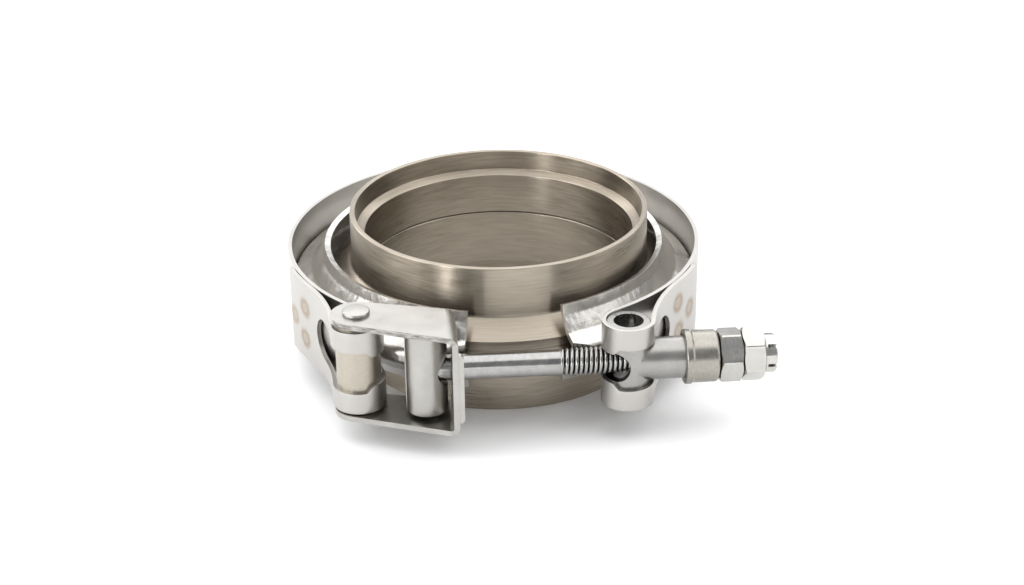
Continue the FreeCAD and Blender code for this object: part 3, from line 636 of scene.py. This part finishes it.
def retainer_section():
    """Middle line of the retainer's sheet, from its lower lip to its upper one."""
    inset = RETAINER_SHEET / 2
    lower = [(r, -z) for r, z in reversed(RETAINER_HALF)]
    corners = [Vector(corner) for corner in lower + RETAINER_HALF]
    moved = []
    for index, corner in enumerate(corners):
        ways = []
        if index > 0:
            ways.append((corner - corners[index - 1]).normalized())
        if index < len(corners) - 1:
            ways.append((corners[index + 1] - corner).normalized())
        mean = sum(ways, Vector((0, 0))).normalized()
        lean = mean.dot(ways[0])
        moved.append(corner + Vector((-mean.y, mean.x)) * inset / lean)
    soft_bend, wall_bend = 2.4, 1.2
    radii = [0, soft_bend, soft_bend, wall_bend, wall_bend, soft_bend, soft_bend, 0]
    return softened(moved, radii, steps=5)


def box_shape(low, high):
    """A block between two corners."""
    shape = bmesh.new()
    bmesh.ops.create_cube(shape, size=1)
    low, high = Vector(low), Vector(high)
    for vert in shape.verts:
        vert.co = Vector(low[i] + (vert.co[i] + 0.5) * (high[i] - low[i]) for i in range(3))
    return shape


def rod(radius, low, high, steps=64, turn=Matrix(), spot=(0, 0, 0), rings=1):
    """A round bar along Z between two heights, turned and moved into place."""
    wall = [(radius, low + (high - low) * ring / rings) for ring in range(rings + 1)]
    shape = spun([(0, low)] + wall + [(0, high)], steps)
    shape.transform(Matrix.Translation(Vector(spot)) @ turn)
    return shape


def bolt_clearance():
    """The space that the bolt and its rolled sleeve need beside the retainers."""
    half, sleeve, travel, tall = 3.25, 4.7, 3.0, 12
    blocks = [
        box_shape((-BOLT_REACH, -BOLT_REACH, -half), (BOLT_REACH, half, half)),
        box_shape((-BOLT_REACH - travel, -sleeve, -tall), (-BOLT_REACH, sleeve, tall)),
        rod(sleeve, -tall, tall, spot=(-BOLT_REACH - travel, 0, 0)),
        rod(sleeve, -tall, tall, spot=(-BOLT_REACH, 0, 0)),
    ]
    to_clamp = clamp_middle.inverted() @ at_trunnion
    for block in blocks:
        block.transform(to_clamp)
    return blocks


def pressed_ripples():
    """Pressed sheet: ripples that run across the section, with clouds and fine grain."""
    group, given, result = finish_group("pressed_ripples", {"Ripples": 9, "Grain": 2600})
    radius, height, angle = radius_and_angle(group, given.outputs["Position"])
    across_section = 110
    ripple_place = packed(
        group, number(group, "MULTIPLY", angle, given.outputs["Ripples"]),
        number(group, "MULTIPLY", height, across_section),
        number(group, "MULTIPLY", radius, across_section),
    )
    ripples = noise(group, ripple_place, 1, 3, 0.5)
    creases = noise(group, ripple_place, 2.6, 2, 0.5)
    grain = noise(group, given.outputs["Position"], given.outputs["Grain"], 2)
    clouds = noise(group, given.outputs["Position"], 150, 4)
    group.links.new(mixed(group, (clouds, 0.7), (ripples, 0.3)), result.inputs["Tone"])
    relief = mixed(group, (ripples, 1.0), (creases, 0.35), (grain, 0.05))
    group.links.new(relief, result.inputs["Relief"])
    return group


retainer_steel = steel(
    "retainer_steel", pressed_ripples(), {"Ripples": 7, "Grain": 2600},
    pale=(0.62, 0.605, 0.575), deep=(0.50, 0.485, 0.455), roughness=(0.25, 0.38), depth=0.6,
    place=clamp_middle,
)
section = retainer_section()
for label, first, last in (
    ("right_retainer", RIGHT_END - math.pi / 2, math.pi / 2 - REAR_GAP),
    ("left_retainer", math.pi / 2 + REAR_GAP, 1.5 * math.pi - LEFT_END),
):
    add_piece(
        label + "_pressed", swept_section(section, first, last), clamp_middle, retainer_steel,
        "band", label, thickness=RETAINER_SHEET, edge=0.18, cutters=bolt_clearance(),
    )


# Pivot. A bushing turned from steel bar fills the left loop, and a stainless rivet through
# it holds the latch's plates; its heads are flat with a worn, rounded edge.
PIN, PIN_FIT = 2.15, 0.05
BUSHING_HALF = 9.8
PLATE_INSIDE, PLATE_SHEET = 10.05, 1.2
at_pivot = Matrix.Translation(pivot_spot) @ Matrix.Rotation(bolt_turn, 4, "Z")
bushing_steel = steel(
    "bushing_steel", turning, {"Rings": 2600, "Mottle": 160},
    pale=(0.45, 0.415, 0.355), deep=(0.37, 0.335, 0.28), roughness=(0.30, 0.42), depth=0.005,
    place=at_pivot,
)
pin_hole = PIN + PIN_FIT
bushing_outline = softened(
    [
        (pin_hole, -BUSHING_HALF), (LOOP_BORE, -BUSHING_HALF),
        (LOOP_BORE, BUSHING_HALF), (pin_hole, BUSHING_HALF),
    ],
    [0.15, 0.2, 0.2, 0.15],
)
add_piece(
    "bushing_turned", spun(bushing_outline, 96), at_pivot, bushing_steel, "band", "pivot_bushing",
)
latch_steel = steel(
    "latch_steel", rolled, {"Grain": 3300, "Clouds": 160, "Dents": 0.8},
    pale=(0.45, 0.438, 0.415), deep=(0.34, 0.328, 0.305), roughness=(0.27, 0.40), depth=0.05,
)
HEAD, HEAD_HEIGHT = 2.85, 0.85
shank_end = PLATE_INSIDE + PLATE_SHEET
head_end = shank_end + HEAD_HEIGHT
pin_outline = softened(
    [
        (0, -head_end), (HEAD, -head_end), (HEAD, -shank_end), (PIN, -shank_end),
        (PIN, shank_end), (HEAD, shank_end), (HEAD, head_end), (0, head_end),
    ],
    [0, 0.4, 0.1, 0, 0, 0.1, 0.4, 0],
)
add_piece("rivet_headed", spun(pin_outline, 72), at_pivot, latch_steel, "latch", "pivot_pin")


# Latch bracket. One blank of stainless sheet folded to a U: two tapered plates and a web
# with an open slot, whose front edge is curled outwards as a finger grip.
PLATE_END = 5.3
FRONT_TAPER, REAR_TAPER = math.radians(21.2), math.radians(16)
FOLD_INSIDE = 0.85
WEB_PLAY, SLOT_HALF, SLOT_PLAY = 0.75, 3.5, 0.7
ARM_REACH, ARM_TOP = 0.65, 8.65
GRIP_TOP, GRIP_BOTTOM, GRIP_REACH, GRIP_BEND = 7.4, 8.1, 1.05, 1.1
BARREL_RADIUS, THREAD_RADIUS = 4.3, 2.95
barrel_spot = trunnion_spot - along_bolt * BOLT_REACH
barrel_in_latch = at_pivot.inverted() @ barrel_spot
web_inside = barrel_in_latch.x + BARREL_RADIUS + WEB_PLAY
web_middle = web_inside + PLATE_SHEET / 2
web_outside = web_inside + PLATE_SHEET


def plate_edges(u):
    """Front and rear edge of the folded blank at a distance from the pivot."""
    rear_foot = on_circle(math.pi / 2 - REAR_TAPER, PLATE_END)
    front_foot = on_circle(1.5 * math.pi - FRONT_TAPER, PLATE_END)
    round_edge = math.sqrt(max(PLATE_END ** 2 - u * u, 0))
    rear = round_edge if u < rear_foot.x else rear_foot.y - (u - rear_foot.x) * math.tan(REAR_TAPER)
    front = -round_edge if u < front_foot.x else front_foot.y - (u - front_foot.x) * math.tan(FRONT_TAPER)
    return front, rear


def folded_blank():
    """The U as a sheet without thickness: plate, bend, web, bend, plate."""
    level = PLATE_INSIDE + PLATE_SHEET / 2
    round_steps, plate_steps, web_steps, rows = 10, 12, 6, 10
    plate_line = [-PLATE_END * math.cos(math.pi / 2 * step / round_steps) for step in range(round_steps)]
    plate_line += [web_middle * step / plate_steps for step in range(plate_steps)]
    corner = [(0, level), (web_middle, level), (web_middle, 0)]
    bend = softened(corner, [0, FOLD_INSIDE + PLATE_SHEET / 2, 0], steps=6)[1:-1]
    upper = [Vector((u, level)) for u in plate_line if u < bend[0].x] + bend
    web = [Vector((web_middle, bend[-1].y * (1 - step / web_steps))) for step in range(1, web_steps)]
    lower = [Vector((point.x, -point.y)) for point in reversed(upper + web)]
    line = upper + web + [Vector((web_middle, 0))] + lower
    shape = bmesh.new()
    strips = []
    for point in line:
        front, rear = plate_edges(min(point.x, web_middle))
        depths = [front + (rear - front) * row / rows for row in range(rows + 1)]
        strips.append([shape.verts.new((point.x, depth, point.y)) for depth in depths])
    for here, there in zip(strips, strips[1:]):
        for row in range(rows):
            shape.faces.new((here[row], here[row + 1], there[row + 1], there[row]))
    bmesh.ops.remove_doubles(shape, verts=shape.verts, dist=1e-4)
    bmesh.ops.recalc_face_normals(shape, faces=shape.faces)
    return shape


def upright_sheet(line, thickness, low, high, corner=0.0, levels=12):
    """A bent strip of sheet standing on edge, from its middle line seen from above.

    The corners at the line's end can be rounded.
    """
    shape = bmesh.new()
    columns = []
    left = sum((after - point).length for point, after in zip(line, line[1:]))
    for index, point in enumerate(line):
        before, after = line[max(index - 1, 0)], line[min(index + 1, len(line) - 1)]
        way = (after - before).normalized()
        across = Vector((-way.y, way.x)) * thickness / 2
        depth = max(corner - left, 0)
        drop = corner - math.sqrt(max(corner ** 2 - depth ** 2, 0))
        column = []
        for level in range(levels + 1):
            height = low + drop + (high - low - 2 * drop) * level / levels
            column.append([shape.verts.new((*(point + across * side), height)) for side in (1, -1)])
        columns.append(column)
        if index < len(line) - 1:
            left -= (line[index + 1] - point).length
    for here, there in zip(columns, columns[1:]):
        for level in range(levels):
            top = level + 1
            for side in (0, 1):
                corners = (here[level][side], there[level][side], there[top][side], here[top][side])
                shape.faces.new(corners)
        for level in (0, levels):
            shape.faces.new((here[level][0], there[level][0], there[level][1], here[level][1]))
    for column in (columns[0], columns[-1]):
        for lower, upper in zip(column, column[1:]):
            shape.faces.new((lower[0], upper[0], upper[1], lower[1]))
    bmesh.ops.recalc_face_normals(shape, faces=shape.faces)
    return shape


bolt_line = barrel_in_latch.y
slot_foot = bolt_line - THREAD_RADIUS - SLOT_PLAY
far = web_outside + GRIP_REACH + 2
slot_middle = slot_foot + SLOT_HALF
lying = Matrix.Rotation(math.pi / 2, 4, "Y")
web_cuts = [
    box_shape((web_inside - 0.5, slot_middle, -SLOT_HALF), (far, far, SLOT_HALF)),
    rod(SLOT_HALF, 0, 4, turn=lying, spot=(web_inside - 1, slot_middle, 0)),
    box_shape((web_inside - 0.5, bolt_line + ARM_REACH, -ARM_TOP), (far, far, ARM_TOP)),
]
web_front = plate_edges(web_middle)[0] + PLATE_SHEET / 2
grip_line = softened(
    [(web_middle, slot_foot - 1), (web_middle, web_front), (web_outside + GRIP_REACH, web_front)],
    [0, GRIP_BEND, 0], steps=6,
)
tip = grip_line.pop()
grip_line += [grip_line[-1].lerp(tip, step / 8) for step in range(1, 9)]
grip = upright_sheet(grip_line, PLATE_SHEET, -GRIP_BOTTOM, GRIP_TOP, corner=0.9)
bracket = add_piece(
    "bracket_folded", folded_blank(), at_pivot, latch_steel, "latch", "latch_bracket",
    thickness=PLATE_SHEET, edge=0.16, cutters=web_cuts, extra=[grip],
)


TORN_TINT = (0.17, 0.158, 0.14)
PATCH_GAIN, PATCH_SHIFT = 3.5, -1.25


def mark_sheared_edges(piece):
    """Flag the faces of the upper plate's edges, which the punch left torn."""
    flags = piece.data.attributes.new("sheared", "FLOAT", "CORNER")
    most_up, least_aside = 0.6, 0.5
    for face in piece.data.polygons:
        height = face.center.z * 1000 - JOINT
        on_edge = abs(face.normal.z) < most_up and PLATE_INSIDE < height < PLATE_INSIDE + PLATE_SHEET
        across_bolt = abs(face.normal.y) > least_aside
        for corner in face.loop_indices:
            flags.data[corner].value = 1.0 if on_edge and across_bolt else 0.0


def add_torn_band(material):
    """Darken the sheared edges in patches that run along the sheet."""
    tree = material.node_tree
    flag = tree.nodes.new("ShaderNodeAttribute")
    flag.attribute_name = "sheared"
    drawn_out = tree.nodes.new("ShaderNodeVectorMath")
    drawn_out.operation = "MULTIPLY"
    drawn_out.inputs[1].default_value = (0.35, 0.35, 1.6)
    tree.links.new(tree.nodes["where"].outputs["Object"], drawn_out.inputs[0])
    torn_noise = noise(tree, drawn_out.outputs["Vector"], 1400, 3)
    patches = number(tree, "MULTIPLY_ADD", torn_noise, PATCH_GAIN)
    patches.node.inputs[2].default_value = PATCH_SHIFT
    patches.node.use_clamp = True
    paint_over(material, number(tree, "MULTIPLY", flag.outputs["Fac"], patches), TORN_TINT)


mark_sheared_edges(bracket)
add_torn_band(latch_steel)


# Rolled sleeve. A strip of the same sheet rolled round the bolt's T head, open at a seam
# on the left, with a round hole that the shank comes out of.
BARREL_SHEET, BARREL_HALF, BARREL_HOLE = 1.2, 9.05, 3.7
SEAM, SEAM_LEAD = math.radians(20), 1.0
at_barrel = Matrix.Translation(barrel_spot) @ Matrix.Rotation(bolt_turn, 4, "Z")


def rolled_line():
    """Middle line of the rolled strip, ending in a short straight lead at its seam."""
    radius = BARREL_RADIUS - BARREL_SHEET / 2
    first, last, steps = math.pi + SEAM / 2, 3 * math.pi - SEAM / 2, 60
    line = [on_circle(first + (last - first) * step / steps, radius) for step in range(steps + 1)]
    line.append(line[-1] + on_circle(last + math.pi / 2) * SEAM_LEAD)
    return line


add_piece(
    "sleeve_rolled", upright_sheet(rolled_line(), BARREL_SHEET, -BARREL_HALF, BARREL_HALF), at_barrel,
    latch_steel, "bolt", "bolt_barrel", edge=0.2,
    cutters=[rod(BARREL_HOLE, 0, 6, turn=lying)],
)


# Trunnion. An upright tube and its bolt sleeve, cast in stainless steel as one piece:
# bored through, with the side towards the latch slotted so that the bolt can swing.
TUBE, TUBE_HALF, TUBE_BORE = 4.55, 8.95, 3.1
SLEEVE, SLEEVE_END, BOLT_BORE = 4.4, 17.6, 3.25
trunnion_steel = steel(
    "trunnion_steel", rolled, {"Grain": 3000, "Clouds": 170, "Dents": 0.9},
    pale=(0.37, 0.362, 0.345), deep=(0.26, 0.253, 0.24), roughness=(0.24, 0.38), depth=0.05,
    place=at_trunnion,
)
TUBE_ROUND, TUBE_RINGS, RING_STEP = 0.3, 15, 1.1
tube_wall = [(TUBE, -TUBE_HALF + RING_STEP * (ring + 1)) for ring in range(TUBE_RINGS)]
tube_outline = [(0, -TUBE_HALF), (TUBE, -TUBE_HALF)] + tube_wall + [(TUBE, TUBE_HALF), (0, TUBE_HALF)]
tube = spun(softened(tube_outline, [0, TUBE_ROUND] + [0] * TUBE_RINGS + [TUBE_ROUND, 0]), 96)
across = Matrix.Rotation(math.pi / 2, 4, "X")
through, clear = 12, 10
trunnion_cuts = [
    rod(TUBE_BORE, -through, through),
    rod(BOLT_BORE, 0, 2 * through, turn=lying),
    rod(BOLT_BORE, -through, through, turn=across, spot=(-BOLT_BORE, 0, 0)),
    box_shape((-clear, -clear, -BOLT_BORE), (-BOLT_BORE, clear, BOLT_BORE)),
]
add_piece(
    "trunnion_cast", tube, at_trunnion, trunnion_steel, "swing_block", "trunnion",
    edge=0.25, extra=[rod(SLEEVE, 0, SLEEVE_END, 96, turn=lying, rings=16)], cutters=trunnion_cuts,
)


# Bolt. A shank of drawn steel with a T head inside the rolled sleeve and a rolled thread,
# whose turns are swept along a spiral.
SHANK, THREAD_START, BOLT_END = 2.67, -14.1, 30.7
PITCH, CREST = 1.0, 0.52
T_HEAD, T_HEAD_HALF = 3.0, 7.05
along_axis = at_trunnion @ lying
bolt_steel = steel(
    "bolt_steel", turning, {"Rings": 900, "Mottle": 160},
    pale=(0.40, 0.395, 0.385), deep=(0.29, 0.285, 0.275), roughness=(0.19, 0.26), depth=0.003,
    place=along_axis,
)


def thread_tree():
    """Geometry nodes that sweep a pointed ridge along a spiral about Z."""
    tree = bpy.data.node_groups.new("rolled_thread", "GeometryNodeTree")
    tree.interface.new_socket("Geometry", in_out="OUTPUT", socket_type="NodeSocketGeometry")
    for label in ("Turns", "Pitch", "Radius", "Crest"):
        tree.interface.new_socket(label, in_out="INPUT", socket_type="NodeSocketFloat")
    tree.interface.new_socket("Steel", in_out="INPUT", socket_type="NodeSocketMaterial")
    given = tree.nodes.new("NodeGroupInput")
    result = tree.nodes.new("NodeGroupOutput")
    spiral = tree.nodes.new("GeometryNodeCurveSpiral")
    spiral.inputs["Resolution"].default_value = 40
    length = tree.nodes.new("ShaderNodeMath")
    length.operation = "MULTIPLY"
    middle = tree.nodes.new("ShaderNodeMath")
    middle.operation = "SUBTRACT"
    upright = tree.nodes.new("GeometryNodeSetCurveNormal")
    upright.mode = "Z_UP"
    profile = tree.nodes.new("GeometryNodeCurvePrimitiveCircle")
    profile.inputs["Resolution"].default_value = 4
    ridge = tree.nodes.new("GeometryNodeCurveToMesh")
    ridge.inputs["Fill Caps"].default_value = True
    real = tree.nodes.new("GeometryNodeRealizeInstances")
    painted = tree.nodes.new("GeometryNodeSetMaterial")
    link = tree.links.new
    link(given.outputs["Turns"], length.inputs[0])
    link(given.outputs["Pitch"], length.inputs[1])
    link(given.outputs["Radius"], middle.inputs[0])
    link(given.outputs["Crest"], middle.inputs[1])
    link(given.outputs["Turns"], spiral.inputs["Rotations"])
    link(middle.outputs[0], spiral.inputs["Start Radius"])
    link(middle.outputs[0], spiral.inputs["End Radius"])
    link(length.outputs[0], spiral.inputs["Height"])
    link(spiral.outputs["Curve"], upright.inputs["Curve"])
    link(given.outputs["Crest"], profile.inputs["Radius"])
    link(upright.outputs["Curve"], ridge.inputs["Curve"])
    link(profile.outputs["Curve"], ridge.inputs["Profile Curve"])
    link(ridge.outputs["Mesh"], real.inputs["Geometry"])
    link(real.outputs["Geometry"], painted.inputs["Geometry"])
    link(given.outputs["Steel"], painted.inputs["Material"])
    link(painted.outputs["Geometry"], result.inputs["Geometry"])
    return tree


def thread_mesh(start, end):
    """The thread between two places on the bolt's axis, as a plain mesh in place."""
    tree = thread_tree()
    carrier = bpy.data.objects.new("thread", bpy.data.meshes.new("thread"))
    bpy.context.scene.collection.objects.link(carrier)
    modifier = carrier.modifiers.new("thread", "NODES")
    modifier.node_group = tree
    sizes = {
        "Turns": (end - start) / PITCH, "Pitch": PITCH, "Radius": THREAD_RADIUS, "Crest": CREST,
        "Steel": bolt_steel,
    }
    for item in tree.interface.items_tree:
        if item.in_out == "INPUT":
            modifier[item.identifier] = sizes[item.name]
    ready = carrier.evaluated_get(bpy.context.evaluated_depsgraph_get())
    data = bpy.data.meshes.new_from_object(ready)
    data.transform(TO_METRES @ along_axis @ Matrix.Translation((0, 0, start)))
    bpy.data.objects.remove(carrier)
    return data


RUN_OUT, BOLT_CHAMFER, CREST_SHOWN = 0.8, 0.6, 0.98
root = THREAD_RADIUS - CREST * CREST_SHOWN
shank_outline = softened(
    [
        (0, -BOLT_REACH), (SHANK, -BOLT_REACH), (SHANK, THREAD_START), (root, THREAD_START + RUN_OUT),
        (root, BOLT_END - BOLT_CHAMFER), (root - BOLT_CHAMFER, BOLT_END), (0, BOLT_END),
    ],
    [0, 0, 0.2, 0, 0.2, 0.1, 0],
)
head_corners = [(0, -T_HEAD_HALF), (T_HEAD, -T_HEAD_HALF), (T_HEAD, T_HEAD_HALF), (0, T_HEAD_HALF)]
head = spun(softened(head_corners, [0, 0.3, 0.3, 0]), 64)
head.transform(Matrix.Translation((0, 0, -BOLT_REACH)) @ lying.inverted())
add_piece(
    "bolt_rolled", spun(shank_outline, 96), along_axis, bolt_steel, "bolt", "t_bolt",
    extra=[head],
)
thread = bpy.data.objects.new("thread_rolled", thread_mesh(THREAD_START, BOLT_END - CREST))
bpy.context.scene.collection.objects.link(thread)
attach(thread, "bolt")


# Cup. A plain cup with a raised lip, turned from steel bar and slipped over the sleeve's
# end to take the nut's thrust.
CUP_LIP, CUP, CUP_START, CUP_END = 5.7, 5.45, 11.5, 18.5
LIP_LENGTH, LIP_FALL = 1.3, 0.4
cup_inside, bolt_hole = SLEEVE + 0.1, THREAD_RADIUS + 0.3
lip_end = CUP_START + LIP_LENGTH
cup_outline = softened(
    [
        (cup_inside, CUP_START), (CUP_LIP, CUP_START), (CUP_LIP, lip_end), (CUP, lip_end + LIP_FALL),
        (CUP, CUP_END), (bolt_hole, CUP_END), (bolt_hole, SLEEVE_END), (cup_inside, SLEEVE_END),
    ],
    [0.2, 0.35, 0.3, 0.25, 0.8, 0.1, 0, 0],
)
cup_steel = steel(
    "cup_steel", turning, {"Rings": 2400, "Mottle": 180},
    pale=(0.38, 0.362, 0.326), deep=(0.27, 0.255, 0.226), roughness=(0.24, 0.36), depth=0.005,
    place=along_axis,
)
add_piece(
    "cup_turned", spun(cup_outline, 96), along_axis, cup_steel, "swing_block", "ferrule_cup",
)


# Nuts. A plain hexagon nut, and a lock nut whose slotted collar grips the thread; both
# are turned from bright stainless bar and chamfered at their corners.
FLATS, NUT_START, NUT_HEIGHT, LOCK_HEX = 10.0, 18.62, 4.8, 4.55
COLLAR, COLLAR_HEIGHT, COLLAR_SLOT = 4.1, 2.63, 0.75
NUT_TURN, LOCK_NUT_TURN, COLLAR_SLOT_TURN = math.radians(20), math.radians(46), math.radians(12)
NUT_CORNER, NUT_STEP, FACE_SHARE, BORE_CHAMFER = 0.45, 0.55, 0.97, 0.35
CHAMFER_ANGLE = math.radians(30)
nut_bore = THREAD_RADIUS + 0.05
nut_steel = steel(
    "nut_steel", turning, {"Rings": 2200, "Mottle": 160},
    pale=(0.53, 0.52, 0.495), deep=(0.43, 0.418, 0.39), roughness=(0.17, 0.27), depth=0.004,
    place=along_axis,
)


def hexagon_nut(height, turn, collar=()):
    """A bored hexagon on Z = 0, chamfered at both faces, with a collar on top if one is given."""
    corner_radius = FLATS / 2 / math.cos(math.radians(30))
    corners = [on_circle(math.radians(60 * side), corner_radius) for side in range(6)]
    rounded_corners = softened(corners, [NUT_CORNER] * 6, steps=3)
    outline = []
    for point, after in zip(rounded_corners, rounded_corners[1:] + rounded_corners[:1]):
        parts = max(round((after - point).length / NUT_STEP), 1)
        outline += [point.lerp(after, part / parts) for part in range(parts)]
    face = FLATS / 2 * FACE_SHARE
    chamfer = nut_bore + BORE_CHAMFER
    end = list(collar) or [(chamfer, height), (nut_bore, height - BORE_CHAMFER)]
    shape = bmesh.new()
    loops = []
    for point in outline:
        side = point.length
        drop = (side - face) * math.tan(CHAMFER_ANGLE)
        foot = [(nut_bore, BORE_CHAMFER), (chamfer, 0), (face, 0), (side, drop)]
        ring = foot + [(side, height - drop), (face, height)] + end
        loops.append(outline_at(shape, ring, math.atan2(point.y, point.x) + turn))
    for here, there in zip(loops, loops[1:] + loops[:1]):
        for index in range(len(here)):
            shape.faces.new((here[index - 1], there[index - 1], there[index], here[index]))
    bmesh.ops.recalc_face_normals(shape, faces=shape.faces)
    return shape


at_nut = along_axis @ Matrix.Translation((0, 0, NUT_START))
add_piece(
    "plain_nut", hexagon_nut(NUT_HEIGHT, NUT_TURN), at_nut, nut_steel, "nuts", "adjusting_nut",
)
at_lock_nut = at_nut @ Matrix.Translation((0, 0, NUT_HEIGHT))
collar_top = LOCK_HEX + COLLAR_HEIGHT
foot, nose, nose_lean, mouth, rounding = 0.25, 0.55, 0.12, 0.45, 0.2
collar = [
    (COLLAR + foot, LOCK_HEX), (COLLAR, LOCK_HEX + foot), (COLLAR, collar_top - nose),
    (COLLAR - nose_lean, collar_top - rounding), (COLLAR - mouth, collar_top),
    (nut_bore + rounding, collar_top), (nut_bore, collar_top - rounding),
]
slot_cuts = []
slot_floor, reach = LOCK_HEX + 0.6, 6
for index in range(3):
    cut = box_shape((-COLLAR_SLOT / 2, -reach, slot_floor), (COLLAR_SLOT / 2, reach, collar_top + 1))
    cut.transform(Matrix.Rotation(math.radians(60 * index) + COLLAR_SLOT_TURN, 4, "Z"))
    slot_cuts.append(cut)
add_piece(
    "collared_nut", hexagon_nut(LOCK_HEX, LOCK_NUT_TURN, collar), at_lock_nut, nut_steel,
    "nuts", "lock_nut", cutters=slot_cuts,
)
